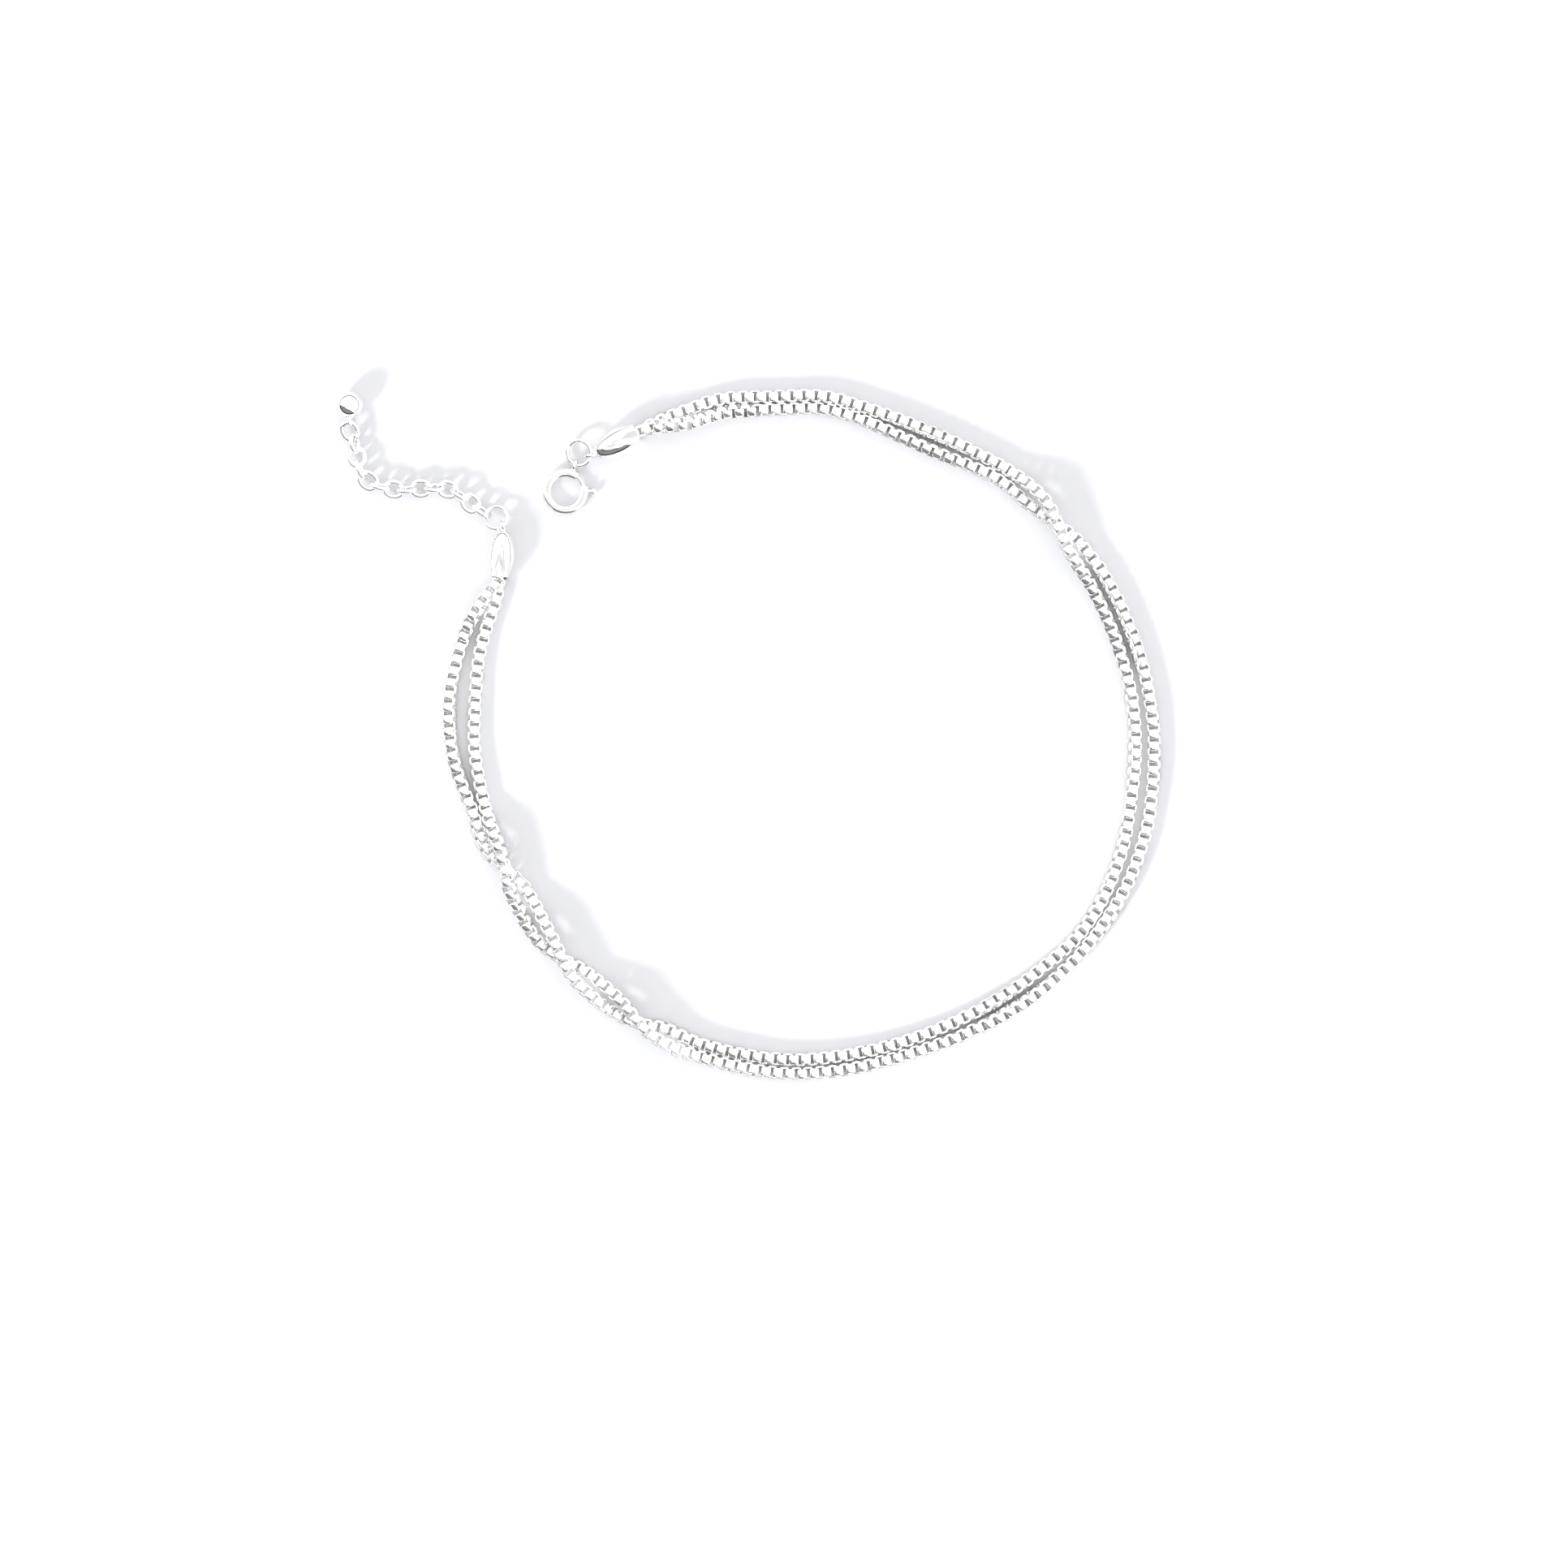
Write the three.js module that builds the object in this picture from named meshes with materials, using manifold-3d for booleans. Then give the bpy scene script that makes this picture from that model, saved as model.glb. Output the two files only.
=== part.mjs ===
// Payal anklet: two box chains side by side, gathered at both ends in soldered end caps, closed by a
// spring-ring clasp and lengthened by an extender chain that ends in a polished ball.
// Millimetres, +Z up. The anklet lies on the plane z = 0, and the origin is at the middle of its underside.

import * as THREE from 'three';
import * as BufferGeometryUtils from 'three/addons/utils/BufferGeometryUtils.js';
import Module from 'manifold-3d';

const wasm = await Module();
wasm.setup();

// Driving dimensions -------------------------------------------------------------------------------

const LOOP_CENTRE = new THREE.Vector3(5.6, 0.5, 0); // middle of the ankle loop

const CHAIN_WIDTH = 1.35; // box chain, across its flats
const CHAIN_CHAMFER = 0.2;
const CHAIN_STEPS = 80;

const CAP_LENGTH = 5.2; // end cap, without its eye
const CAP_RADIUS = 1.55;
const CAP_SHOULDER = 0.36; // where its swell ends, as a share of its length
const CAP_SIDES = 20;
const CAP_MOUTH_RADIUS = 1.5;
const CAP_MOUTH_PINCH = 0.68; // width of the mouth against its height
const CAP_PINCH_LENGTH = 2.2; // how far from the mouth the pinch reaches
const CAP_EYE_RADIUS = 0.62; // middle of the wire
const CAP_EYE_WIRE = 0.2; // radius of the wire
const CAP_EYE_REACH = 0.45; // centre of the eye, past the end of the cap

const WIRE_SIDES = 8; // of every ring and eye of wire
const EYE_STEPS = 16;
const RING_STEPS = 28;

const JUMP_RING_RADIUS = 1.4;
const JUMP_RING_WIRE = 0.22;
const EXTENDER_RING_RADIUS = 1.25;
const EXTENDER_RING_WIRE = 0.21;
const EXTENDER_RING_HEIGHT = 1.15; // of its middle
const EXTENDER_RING_TILT = 14; // degrees, down towards the extender

const SPRING_RING_RADIUS = 2.05; // middle of the tube
const SPRING_TUBE_RADIUS = 0.55;
const SPRING_BORE_RADIUS = 0.38;
const SPRING_GAP = { start: 14, end: 52 }; // degrees from +X, closed by the bolt
const SPRING_SLOT = { start: -52, end: 7, width: 0.64 };
const SPRING_EYE_RADIUS = 0.55;
const SPRING_EYE_WIRE = 0.18;
const SPRING_EYE_REACH = 3.1; // centre of the eye, from the centre of the ring
const SPRING_EYE_BEARING = 70; // degrees from +X

const BOLT_RADIUS = 0.28;
const BOLT_ARC = { start: -62, end: 57 };
const KNOB_PIN_RADIUS = 0.24;
const KNOB_RADIUS = 0.42;
const KNOB_REACH = 3.2; // centre of the knob, from the centre of the ring

const EXTENDER_WIDTH = 2.1;
const BALL_RADIUS = 1.5;
const BALL_EYE_RADIUS = 0.5;
const BALL_EYE_WIRE = 0.16;

// Places inside the loop, from its centre.
const CLASP_CAP = { mouth: [-18.0, 32.9], heading: 207, eyeTurn: -21 };
const EXTENDER_CAP = { mouth: [-33.15, 16.95], heading: 86, eyeTurn: 22 };
const JUMP_RING_BEARING = 165; // from the cap's eye to the middle of the jump ring
const EXTENDER_RING_BEARING = 130;

// Route of the two chains, clockwise from the clasp's cap to the extender's cap. Bearings are degrees
// clockwise from +Y, radii are from the loop's centre, and each pair ends with the chain's lift.
const CHAIN_ROUTES = [
  { bearing: -28.2, first: [37.6, 0.18], second: [37.35, 1.57] },
  { bearing: -25, first: [37.65, 0], second: [37.0, 1.57] },
  { bearing: -20, first: [37.65, 0], second: [36.1, 1.32] },
  { bearing: -13, first: [37.65, 0], second: [36.15, 0] },
  { bearing: -4, first: [37.05, 0], second: [35.6, 0] },
  { bearing: 4, first: [37.1, 0], second: [35.65, 0] },
  { bearing: 12, first: [36.45, 0], second: [35.0, 0] },
  { bearing: 20, first: [36.05, 0], second: [34.4, 0] },
  { bearing: 29, first: [36.2, 0], second: [34.5, 0] },
  { bearing: 38, first: [36.9, 0], second: [35.4, 0] },
  { bearing: 46.5, first: [37.25, 1.42], second: [35.75, 0] },
  { bearing: 51, first: [36.5, 1.49], second: [36.5, 0] },
  { bearing: 55.5, first: [35.8, 1.42], second: [37.3, 0] },
  { bearing: 64, first: [36.1, 0], second: [37.85, 0] },
  { bearing: 76, first: [36.6, 0], second: [38.4, 0] },
  { bearing: 88, first: [37.05, 0], second: [39.15, 0] },
  { bearing: 100, first: [37.4, 0], second: [39.7, 0] },
  { bearing: 112, first: [38.1, 0], second: [40.15, 0] },
  { bearing: 124, first: [38.35, 0], second: [39.95, 0] },
  { bearing: 136, first: [37.55, 0], second: [39.3, 0] },
  { bearing: 149, first: [36.75, 0], second: [38.4, 0] },
  { bearing: 166, first: [36.3, 0], second: [37.8, 0] },
  { bearing: 182, first: [36.45, 0], second: [38.05, 0] },
  { bearing: 197, first: [36.35, 0], second: [37.85, 0] },
  { bearing: 204.3, first: [36.15, 0], second: [37.65, 1.42] },
  { bearing: 208.5, first: [36.9, 0], second: [36.9, 1.49] },
  { bearing: 212.7, first: [37.4, 0], second: [35.9, 1.42] },
  { bearing: 221.7, first: [37.15, 1.42], second: [35.65, 0] },
  { bearing: 226, first: [36.4, 1.49], second: [36.4, 0] },
  { bearing: 230.3, first: [35.6, 1.42], second: [37.1, 0] },
  { bearing: 240.2, first: [35.1, 0], second: [36.6, 1.42] },
  { bearing: 244.5, first: [35.95, 0], second: [35.95, 1.49] },
  { bearing: 248.8, first: [37.05, 0], second: [35.55, 1.42] },
  { bearing: 257, first: [37.4, 0], second: [35.85, 0] },
  { bearing: 267, first: [38.5, 0], second: [36.1, 0] },
  { bearing: 276, first: [38.85, 0], second: [36.1, 0] },
  { bearing: 285, first: [38.55, 0], second: [36.5, 0] },
  { bearing: 290.5, first: [38.05, 1.22], second: [36.55, 0] },
  { bearing: 294, first: [37.5, 1.52], second: [36.7, 0] },
  { bearing: 296, first: [37.2, 1.57], second: [36.95, 0.18] },
];

// Route of the extender chain, from its jump ring to its ball, from the loop's centre.
const EXTENDER_ROUTE = [
  [-35.4, 24.25], [-36.3, 25.05], [-37.3, 25.9], [-38.4, 26.5], [-39.6, 26.8], [-41.0, 26.85],
  [-42.4, 26.75], [-44.0, 26.65], [-45.6, 26.8], [-47.1, 27.25], [-48.2, 28.1], [-48.8, 29.4],
  [-49.05, 30.8], [-49.3, 32.1], [-49.45, 33.15],
];
const BALL_PLACE = [-49.75, 35.95];

// Helpers ------------------------------------------------------------------------------------------

const UP = new THREE.Vector3(0, 0, 1);
const radians = THREE.MathUtils.degToRad;

/** Point at a bearing in degrees counter-clockwise from +X and a distance, on the level. */
function polar(bearing, distance, height = 0) {
  const angle = radians(bearing);
  return new THREE.Vector3(distance * Math.cos(angle), distance * Math.sin(angle), height);
}

/** A path along which a swept section stays upright and never sinks below its lowest height. */
class UprightPath extends THREE.Curve {
  constructor(curve, lowest) {
    super();
    this.curve = curve;
    this.lowest = lowest;
  }

  getPoint(t, target = new THREE.Vector3()) {
    this.curve.getPoint(t, target);
    target.z = Math.max(target.z, this.lowest);
    return target;
  }

  computeFrenetFrames(segments) {
    const frames = { tangents: [], normals: [], binormals: [] };
    for (let i = 0; i <= segments; i += 1) {
      const tangent = this.getTangentAt(i / segments);
      const normal = new THREE.Vector3().crossVectors(UP, tangent).normalize();
      frames.tangents.push(tangent);
      frames.normals.push(normal);
      frames.binormals.push(new THREE.Vector3().crossVectors(tangent, normal));
    }
    return frames;
  }
}

/** A level arc about the Z axis, for sweeping. */
class LevelArc extends THREE.Curve {
  constructor(radius, start, end) {
    super();
    this.radius = radius;
    this.start = start;
    this.end = end;
  }

  getPoint(t, target = new THREE.Vector3()) {
    return target.copy(polar(THREE.MathUtils.lerp(this.start, this.end, t), this.radius));
  }
}

/** Regular polygon with a flat side at the bottom, as a list of points. */
function polygon(inscribedRadius, sides) {
  const radius = inscribedRadius / Math.cos(Math.PI / sides);
  const points = [];
  for (let i = 0; i < sides; i += 1) {
    const angle = ((i + 0.5) * 2 * Math.PI) / sides - Math.PI / 2;
    points.push(new THREE.Vector2(radius * Math.cos(angle), radius * Math.sin(angle)));
  }
  return points;
}

/** Square with cut corners, the outline of a box chain or of a chain of oval links. */
function chamferedSquare(width, chamfer) {
  const side = width / 2;
  const flat = side - chamfer;
  const corners = [
    [side, -flat], [side, flat], [flat, side], [-flat, side],
    [-side, flat], [-side, -flat], [-flat, -side], [flat, -side],
  ];
  return new THREE.Shape(corners.map(([x, y]) => new THREE.Vector2(x, y)));
}

/** Sweeps a shape along a path that keeps it upright. */
function sweep(shape, curve, steps, lowest = -Infinity) {
  const extrudePath = new UprightPath(curve, lowest);
  return new THREE.ExtrudeGeometry(shape, { steps, bevelEnabled: false, extrudePath });
}

/** Turns a closed geometry into a solid that can be joined and cut. */
function toSolid(geometry) {
  const bare = geometry.clone();
  bare.deleteAttribute('normal');
  bare.deleteAttribute('uv');
  const merged = BufferGeometryUtils.mergeVertices(bare, 1e-4);
  const vertProperties = new Float32Array(merged.attributes.position.array);
  const triVerts = new Uint32Array(merged.index.array);
  return new wasm.Manifold(new wasm.Mesh({ numProp: 3, vertProperties, triVerts }));
}

/** Turns a solid back into a geometry. */
function toGeometry(solid) {
  const mesh = solid.getMesh();
  const geometry = new THREE.BufferGeometry();
  geometry.setAttribute('position', new THREE.BufferAttribute(mesh.vertProperties, 3));
  geometry.setIndex(new THREE.BufferAttribute(mesh.triVerts, 1));
  return geometry;
}

/** Joins closed geometries into one. */
function weld(...geometries) {
  return toGeometry(geometries.map(toSolid).reduce((whole, piece) => whole.add(piece)));
}

/** Polished silver. */
function silver(color = 0xe9eaec, roughness = 0.12) {
  return new THREE.MeshStandardMaterial({ color, roughness, metalness: 1 });
}

/** Named mesh at a place inside the loop. */
function piece(name, geometry, material, place = [0, 0, 0]) {
  const mesh = new THREE.Mesh(geometry, material);
  mesh.name = name;
  mesh.position.set(...place);
  return mesh;
}

/** Place of a cap's eye inside the loop, at the height of the cap's axis. */
function capEye(cap) {
  const away = polar(cap.heading, CAP_LENGTH + CAP_EYE_REACH, CAP_RADIUS);
  return away.add(new THREE.Vector3(...cap.mouth, 0));
}

// Chains -------------------------------------------------------------------------------------------

/** One box chain, an upright tube along its route. */
function boxChain(name, strand) {
  const points = CHAIN_ROUTES.map((row) => {
    const [radius, lift] = row[strand];
    return polar(90 - row.bearing, radius, CHAIN_WIDTH / 2 + lift);
  });
  const section = chamferedSquare(CHAIN_WIDTH, CHAIN_CHAMFER);
  const route = new THREE.CatmullRomCurve3(points);
  return piece(name, sweep(section, route, CHAIN_STEPS, CHAIN_WIDTH / 2), silver());
}

/** The extender chain of small oval links, as a tube along its route. */
function extenderChain() {
  const height = EXTENDER_WIDTH / 2;
  const route = new THREE.CatmullRomCurve3(EXTENDER_ROUTE.map(([x, y]) => new THREE.Vector3(x, y, height)));
  const section = chamferedSquare(EXTENDER_WIDTH, EXTENDER_WIDTH / 4);
  return piece('extender_chain', sweep(section, route, EXTENDER_ROUTE.length - 1), silver());
}

// End caps -----------------------------------------------------------------------------------------

/** Half-width of the cap's mouth against its height, at a distance from the mouth. */
function pinch(distance) {
  return THREE.MathUtils.lerp(CAP_MOUTH_PINCH, 1, THREE.MathUtils.smoothstep(distance, 0, CAP_PINCH_LENGTH));
}

/** An oval cap about +X with its mouth at the origin, pinched sideways where the chains enter. */
function capBody() {
  const outline = new THREE.Path();
  outline.moveTo(0, 0);
  outline.lineTo(CAP_MOUTH_RADIUS, 0);
  outline.lineTo(CAP_RADIUS, CAP_LENGTH * CAP_SHOULDER);
  outline.bezierCurveTo(CAP_RADIUS, CAP_LENGTH * 0.75, CAP_RADIUS * 0.6, CAP_LENGTH, 0, CAP_LENGTH);
  const body = new THREE.LatheGeometry(outline.getPoints(7), CAP_SIDES);
  body.rotateZ(-Math.PI / 2);
  const position = body.attributes.position;
  for (let i = 0; i < position.count; i += 1) {
    position.setY(i, position.getY(i) * pinch(position.getX(i)));
  }
  return body;
}

/** End cap with the upright eye that is soldered to its closed end. */
function endCap(name, cap) {
  const eye = new THREE.TorusGeometry(CAP_EYE_RADIUS, CAP_EYE_WIRE, WIRE_SIDES, EYE_STEPS);
  eye.rotateX(Math.PI / 2);
  eye.rotateZ(radians(cap.eyeTurn));
  eye.translate(CAP_LENGTH + CAP_EYE_REACH, 0, 0);
  const mesh = piece(name, weld(capBody(), eye), silver(), [...cap.mouth, CAP_RADIUS]);
  mesh.rotation.z = radians(cap.heading);
  return mesh;
}

// Clasp --------------------------------------------------------------------------------------------

const claspEye = capEye(CLASP_CAP);
const jumpRingCentre = polar(JUMP_RING_BEARING, JUMP_RING_RADIUS).add(claspEye);
const springEyeHeight = SPRING_EYE_RADIUS + SPRING_EYE_WIRE + 0.02;
const springCentre = polar(SPRING_EYE_BEARING, -SPRING_EYE_REACH - JUMP_RING_RADIUS).add(jumpRingCentre);

/** Jump ring that links the clasp's eye to the cap's eye, tilted from the one to the other. */
function claspJumpRing() {
  const towardsCap = polar(JUMP_RING_BEARING + 180, JUMP_RING_RADIUS);
  const towardsClasp = polar(SPRING_EYE_BEARING + 180, JUMP_RING_RADIUS);
  const middleHeight = (claspEye.z + springEyeHeight) / 2;
  towardsCap.z = claspEye.z - middleHeight;
  towardsClasp.z = springEyeHeight - middleHeight;
  const normal = new THREE.Vector3().crossVectors(towardsClasp, towardsCap).normalize();
  const ring = new THREE.TorusGeometry(JUMP_RING_RADIUS, JUMP_RING_WIRE, WIRE_SIDES, RING_STEPS);
  const place = [jumpRingCentre.x, jumpRingCentre.y, middleHeight];
  const mesh = piece('clasp_jump_ring', ring, silver(), place);
  mesh.quaternion.setFromUnitVectors(UP, normal);
  return mesh;
}

/** Spring ring: an open hollow ring with a slot for the knob and a soldered eye. */
function springRing() {
  const section = new THREE.Shape(polygon(SPRING_TUBE_RADIUS, 12));
  section.holes.push(new THREE.Path(polygon(SPRING_BORE_RADIUS, 8)));
  const tube = sweep(section, new LevelArc(SPRING_RING_RADIUS, SPRING_GAP.end, SPRING_GAP.start + 360), 32);

  const slotSection = chamferedSquare(SPRING_SLOT.width, 0.02);
  const slotRadius = SPRING_RING_RADIUS + SPRING_TUBE_RADIUS;
  const slot = sweep(slotSection, new LevelArc(slotRadius, SPRING_SLOT.start, SPRING_SLOT.end), 10);

  const eye = new THREE.TorusGeometry(SPRING_EYE_RADIUS, SPRING_EYE_WIRE, WIRE_SIDES, EYE_STEPS);
  eye.rotateX(Math.PI / 2);
  eye.translate(SPRING_EYE_REACH, 0, springEyeHeight - SPRING_TUBE_RADIUS);
  eye.rotateZ(radians(SPRING_EYE_BEARING));

  const body = toSolid(tube).add(toSolid(eye)).subtract(toSolid(slot));
  const place = [springCentre.x, springCentre.y, SPRING_TUBE_RADIUS];
  return piece('spring_ring', toGeometry(body), silver(), place);
}

/** Bolt that closes the spring ring, with the knob that draws it back. */
function trigger() {
  const section = new THREE.Shape(polygon(BOLT_RADIUS, 8));
  const bolt = sweep(section, new LevelArc(SPRING_RING_RADIUS, BOLT_ARC.start, BOLT_ARC.end), 14);
  const pinLength = KNOB_REACH - SPRING_RING_RADIUS;
  const pin = new THREE.CylinderGeometry(KNOB_PIN_RADIUS, KNOB_PIN_RADIUS, pinLength, 10);
  pin.rotateZ(Math.PI / 2);
  pin.translate(SPRING_RING_RADIUS + pinLength / 2, 0, 0);
  const knob = new THREE.SphereGeometry(KNOB_RADIUS, 14, 10);
  knob.translate(KNOB_REACH, 0, 0);
  const place = [springCentre.x, springCentre.y, SPRING_TUBE_RADIUS];
  return piece('trigger', weld(bolt, pin, knob), silver(), place);
}

// Extender -----------------------------------------------------------------------------------------

/** Jump ring that hangs from the cap's eye and slopes down to the extender chain. */
function extenderJumpRing() {
  const centre = polar(EXTENDER_RING_BEARING, EXTENDER_RING_RADIUS).add(capEye(EXTENDER_CAP));
  const ring = new THREE.TorusGeometry(EXTENDER_RING_RADIUS, EXTENDER_RING_WIRE, WIRE_SIDES, RING_STEPS);
  ring.rotateY(radians(EXTENDER_RING_TILT));
  ring.rotateZ(radians(EXTENDER_RING_BEARING));
  return piece('extender_jump_ring', ring, silver(), [centre.x, centre.y, EXTENDER_RING_HEIGHT]);
}

/** Polished ball with a small eye towards the chain. */
function endBall() {
  const ball = new THREE.SphereGeometry(BALL_RADIUS, 22, 14);
  ball.rotateX(Math.PI / 2);
  const eye = new THREE.TorusGeometry(BALL_EYE_RADIUS, BALL_EYE_WIRE, WIRE_SIDES, EYE_STEPS);
  eye.rotateY(Math.PI / 2);
  eye.translate(0, -BALL_RADIUS - BALL_EYE_RADIUS / 2, 0);
  return piece('end_ball', weld(ball, eye), silver(), [...BALL_PLACE, BALL_RADIUS]);
}

// Assembly -----------------------------------------------------------------------------------------

const anklet = new THREE.Group();
anklet.position.copy(LOOP_CENTRE);
anklet.add(
  boxChain('box_chain_first', 'first'),
  boxChain('box_chain_second', 'second'),
  endCap('clasp_end_cap', CLASP_CAP),
  endCap('extender_end_cap', EXTENDER_CAP),
  claspJumpRing(),
  springRing(),
  trigger(),
  extenderJumpRing(),
  extenderChain(),
  endBall(),
);

export default anklet;
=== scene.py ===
"""Payal anklet in polished silver, lying on a pale floor.

Two box chains run side by side round the ankle loop, twist over each other in four places and end in
oval caps. One cap carries a spring-ring clasp on a jump ring, the other an extender chain of small
oval links with a ball. Everything is in metres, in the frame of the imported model: +Z is up and the
origin is the middle of the anklet's underside.
"""

from __future__ import annotations

import bisect
import logging
import math
import random
from collections.abc import Iterable, Sequence
from dataclasses import dataclass, field
from enum import Enum

import bmesh
import bpy
from mathutils import Matrix, Vector
from mathutils.kdtree import KDTree


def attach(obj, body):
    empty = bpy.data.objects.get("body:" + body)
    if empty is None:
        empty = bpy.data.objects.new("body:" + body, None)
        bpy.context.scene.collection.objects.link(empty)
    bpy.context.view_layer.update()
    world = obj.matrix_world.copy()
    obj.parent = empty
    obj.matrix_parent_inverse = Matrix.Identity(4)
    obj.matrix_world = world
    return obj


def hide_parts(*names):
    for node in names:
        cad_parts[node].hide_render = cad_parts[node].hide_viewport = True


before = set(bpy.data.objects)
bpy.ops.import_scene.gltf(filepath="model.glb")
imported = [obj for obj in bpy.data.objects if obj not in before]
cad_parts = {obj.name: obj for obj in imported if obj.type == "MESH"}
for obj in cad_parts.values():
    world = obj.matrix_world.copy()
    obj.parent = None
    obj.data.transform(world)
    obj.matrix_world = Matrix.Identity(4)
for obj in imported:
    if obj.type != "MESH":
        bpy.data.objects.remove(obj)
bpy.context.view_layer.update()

LOG = logging.getLogger("anklet")
MM = 0.001
UP = Vector((0.0, 0.0, 1.0))
LOOP_CENTRE = Vector((5.6, 0.5, 0.0)) * MM
TOUCHING = 1e-7  # Metres; points nearer than this are one.

# Routes of the two chains, clockwise from the clasp's cap to the extender's cap: bearing in degrees
# clockwise from +Y, then each chain's radius from the loop's centre and lift off the floor, in metres.
CHAIN_ROUTES = (
    (-28.2, (0.03760, 0.00018), (0.03735, 0.00157)),
    (-25.0, (0.03765, 0.0), (0.03700, 0.00157)),
    (-20.0, (0.03765, 0.0), (0.03610, 0.00132)),
    (-13.0, (0.03765, 0.0), (0.03615, 0.0)),
    (-4.0, (0.03705, 0.0), (0.03560, 0.0)),
    (4.0, (0.03710, 0.0), (0.03565, 0.0)),
    (12.0, (0.03645, 0.0), (0.03500, 0.0)),
    (20.0, (0.03605, 0.0), (0.03440, 0.0)),
    (29.0, (0.03620, 0.0), (0.03450, 0.0)),
    (38.0, (0.03690, 0.0), (0.03540, 0.0)),
    (46.5, (0.03725, 0.00142), (0.03575, 0.0)),
    (51.0, (0.03650, 0.00149), (0.03650, 0.0)),
    (55.5, (0.03580, 0.00142), (0.03730, 0.0)),
    (64.0, (0.03610, 0.0), (0.03785, 0.0)),
    (76.0, (0.03660, 0.0), (0.03840, 0.0)),
    (88.0, (0.03705, 0.0), (0.03915, 0.0)),
    (100.0, (0.03740, 0.0), (0.03970, 0.0)),
    (112.0, (0.03810, 0.0), (0.04015, 0.0)),
    (124.0, (0.03835, 0.0), (0.03995, 0.0)),
    (136.0, (0.03755, 0.0), (0.03930, 0.0)),
    (149.0, (0.03675, 0.0), (0.03840, 0.0)),
    (166.0, (0.03630, 0.0), (0.03780, 0.0)),
    (182.0, (0.03645, 0.0), (0.03805, 0.0)),
    (197.0, (0.03635, 0.0), (0.03785, 0.0)),
    (204.3, (0.03615, 0.0), (0.03765, 0.00142)),
    (208.5, (0.03690, 0.0), (0.03690, 0.00149)),
    (212.7, (0.03740, 0.0), (0.03590, 0.00142)),
    (221.7, (0.03715, 0.00142), (0.03565, 0.0)),
    (226.0, (0.03640, 0.00149), (0.03640, 0.0)),
    (230.3, (0.03560, 0.00142), (0.03710, 0.0)),
    (240.2, (0.03510, 0.0), (0.03660, 0.00142)),
    (244.5, (0.03595, 0.0), (0.03595, 0.00149)),
    (248.8, (0.03705, 0.0), (0.03555, 0.00142)),
    (257.0, (0.03740, 0.0), (0.03585, 0.0)),
    (267.0, (0.03850, 0.0), (0.03610, 0.0)),
    (276.0, (0.03885, 0.0), (0.03610, 0.0)),
    (285.0, (0.03855, 0.0), (0.03650, 0.0)),
    (290.5, (0.03805, 0.00122), (0.03655, 0.0)),
    (294.0, (0.03750, 0.00152), (0.03670, 0.0)),
    (296.0, (0.03720, 0.00157), (0.03695, 0.00018)),
)

# Route of the extender chain from its jump ring to its ball, in metres from the loop's centre.
EXTENDER_ROUTE = (
    (-0.03540, 0.02425), (-0.03630, 0.02505), (-0.03730, 0.02590), (-0.03840, 0.02650),
    (-0.03960, 0.02680), (-0.04100, 0.02685), (-0.04240, 0.02675), (-0.04400, 0.02665),
    (-0.04560, 0.02680), (-0.04710, 0.02725), (-0.04820, 0.02810), (-0.04880, 0.02940),
    (-0.04905, 0.03080), (-0.04930, 0.03210), (-0.04945, 0.03315),
)


class Body(Enum):
    """The rigid bodies that a piece can move with."""

    ROOT = "root"
    TRIGGER = "trigger"


class Slot(Enum):
    """The material slots."""

    BOX_CHAIN = "box_chain"
    END_CAP = "end_cap"
    CLASP = "clasp"
    JUMP_RING = "jump_ring"
    EXTENDER = "extender"
    BALL = "ball"


class Strand(Enum):
    """Which of the two box chains a route is for, as its column in CHAIN_ROUTES."""

    FIRST = 1
    SECOND = 2


# Geometry helpers ---------------------------------------------------------------------------------


def polar(bearing: float, distance: float, height: float = 0.0) -> Vector:
    """Gives the point at a bearing and distance, on the level.

    Args:
        bearing: Degrees counter-clockwise from +X.
        distance: Metres from the origin.
        height: Metres above the floor.

    Returns:
        The point.
    """
    angle = math.radians(bearing)
    return Vector((distance * math.cos(angle), distance * math.sin(angle), height))


def turn(degrees: float, axis: str) -> Matrix:
    """Gives a turn of so many degrees about X, Y or Z as a 4x4 matrix."""
    return Matrix.Rotation(math.radians(degrees), 4, axis)


def smoothstep(value: float, low: float, high: float) -> float:
    """Gives 0 below low, 1 above high and a smooth step between."""
    t = min(1.0, max(0.0, (value - low) / (high - low)))
    return t * t * (3.0 - 2.0 * t)


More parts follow.
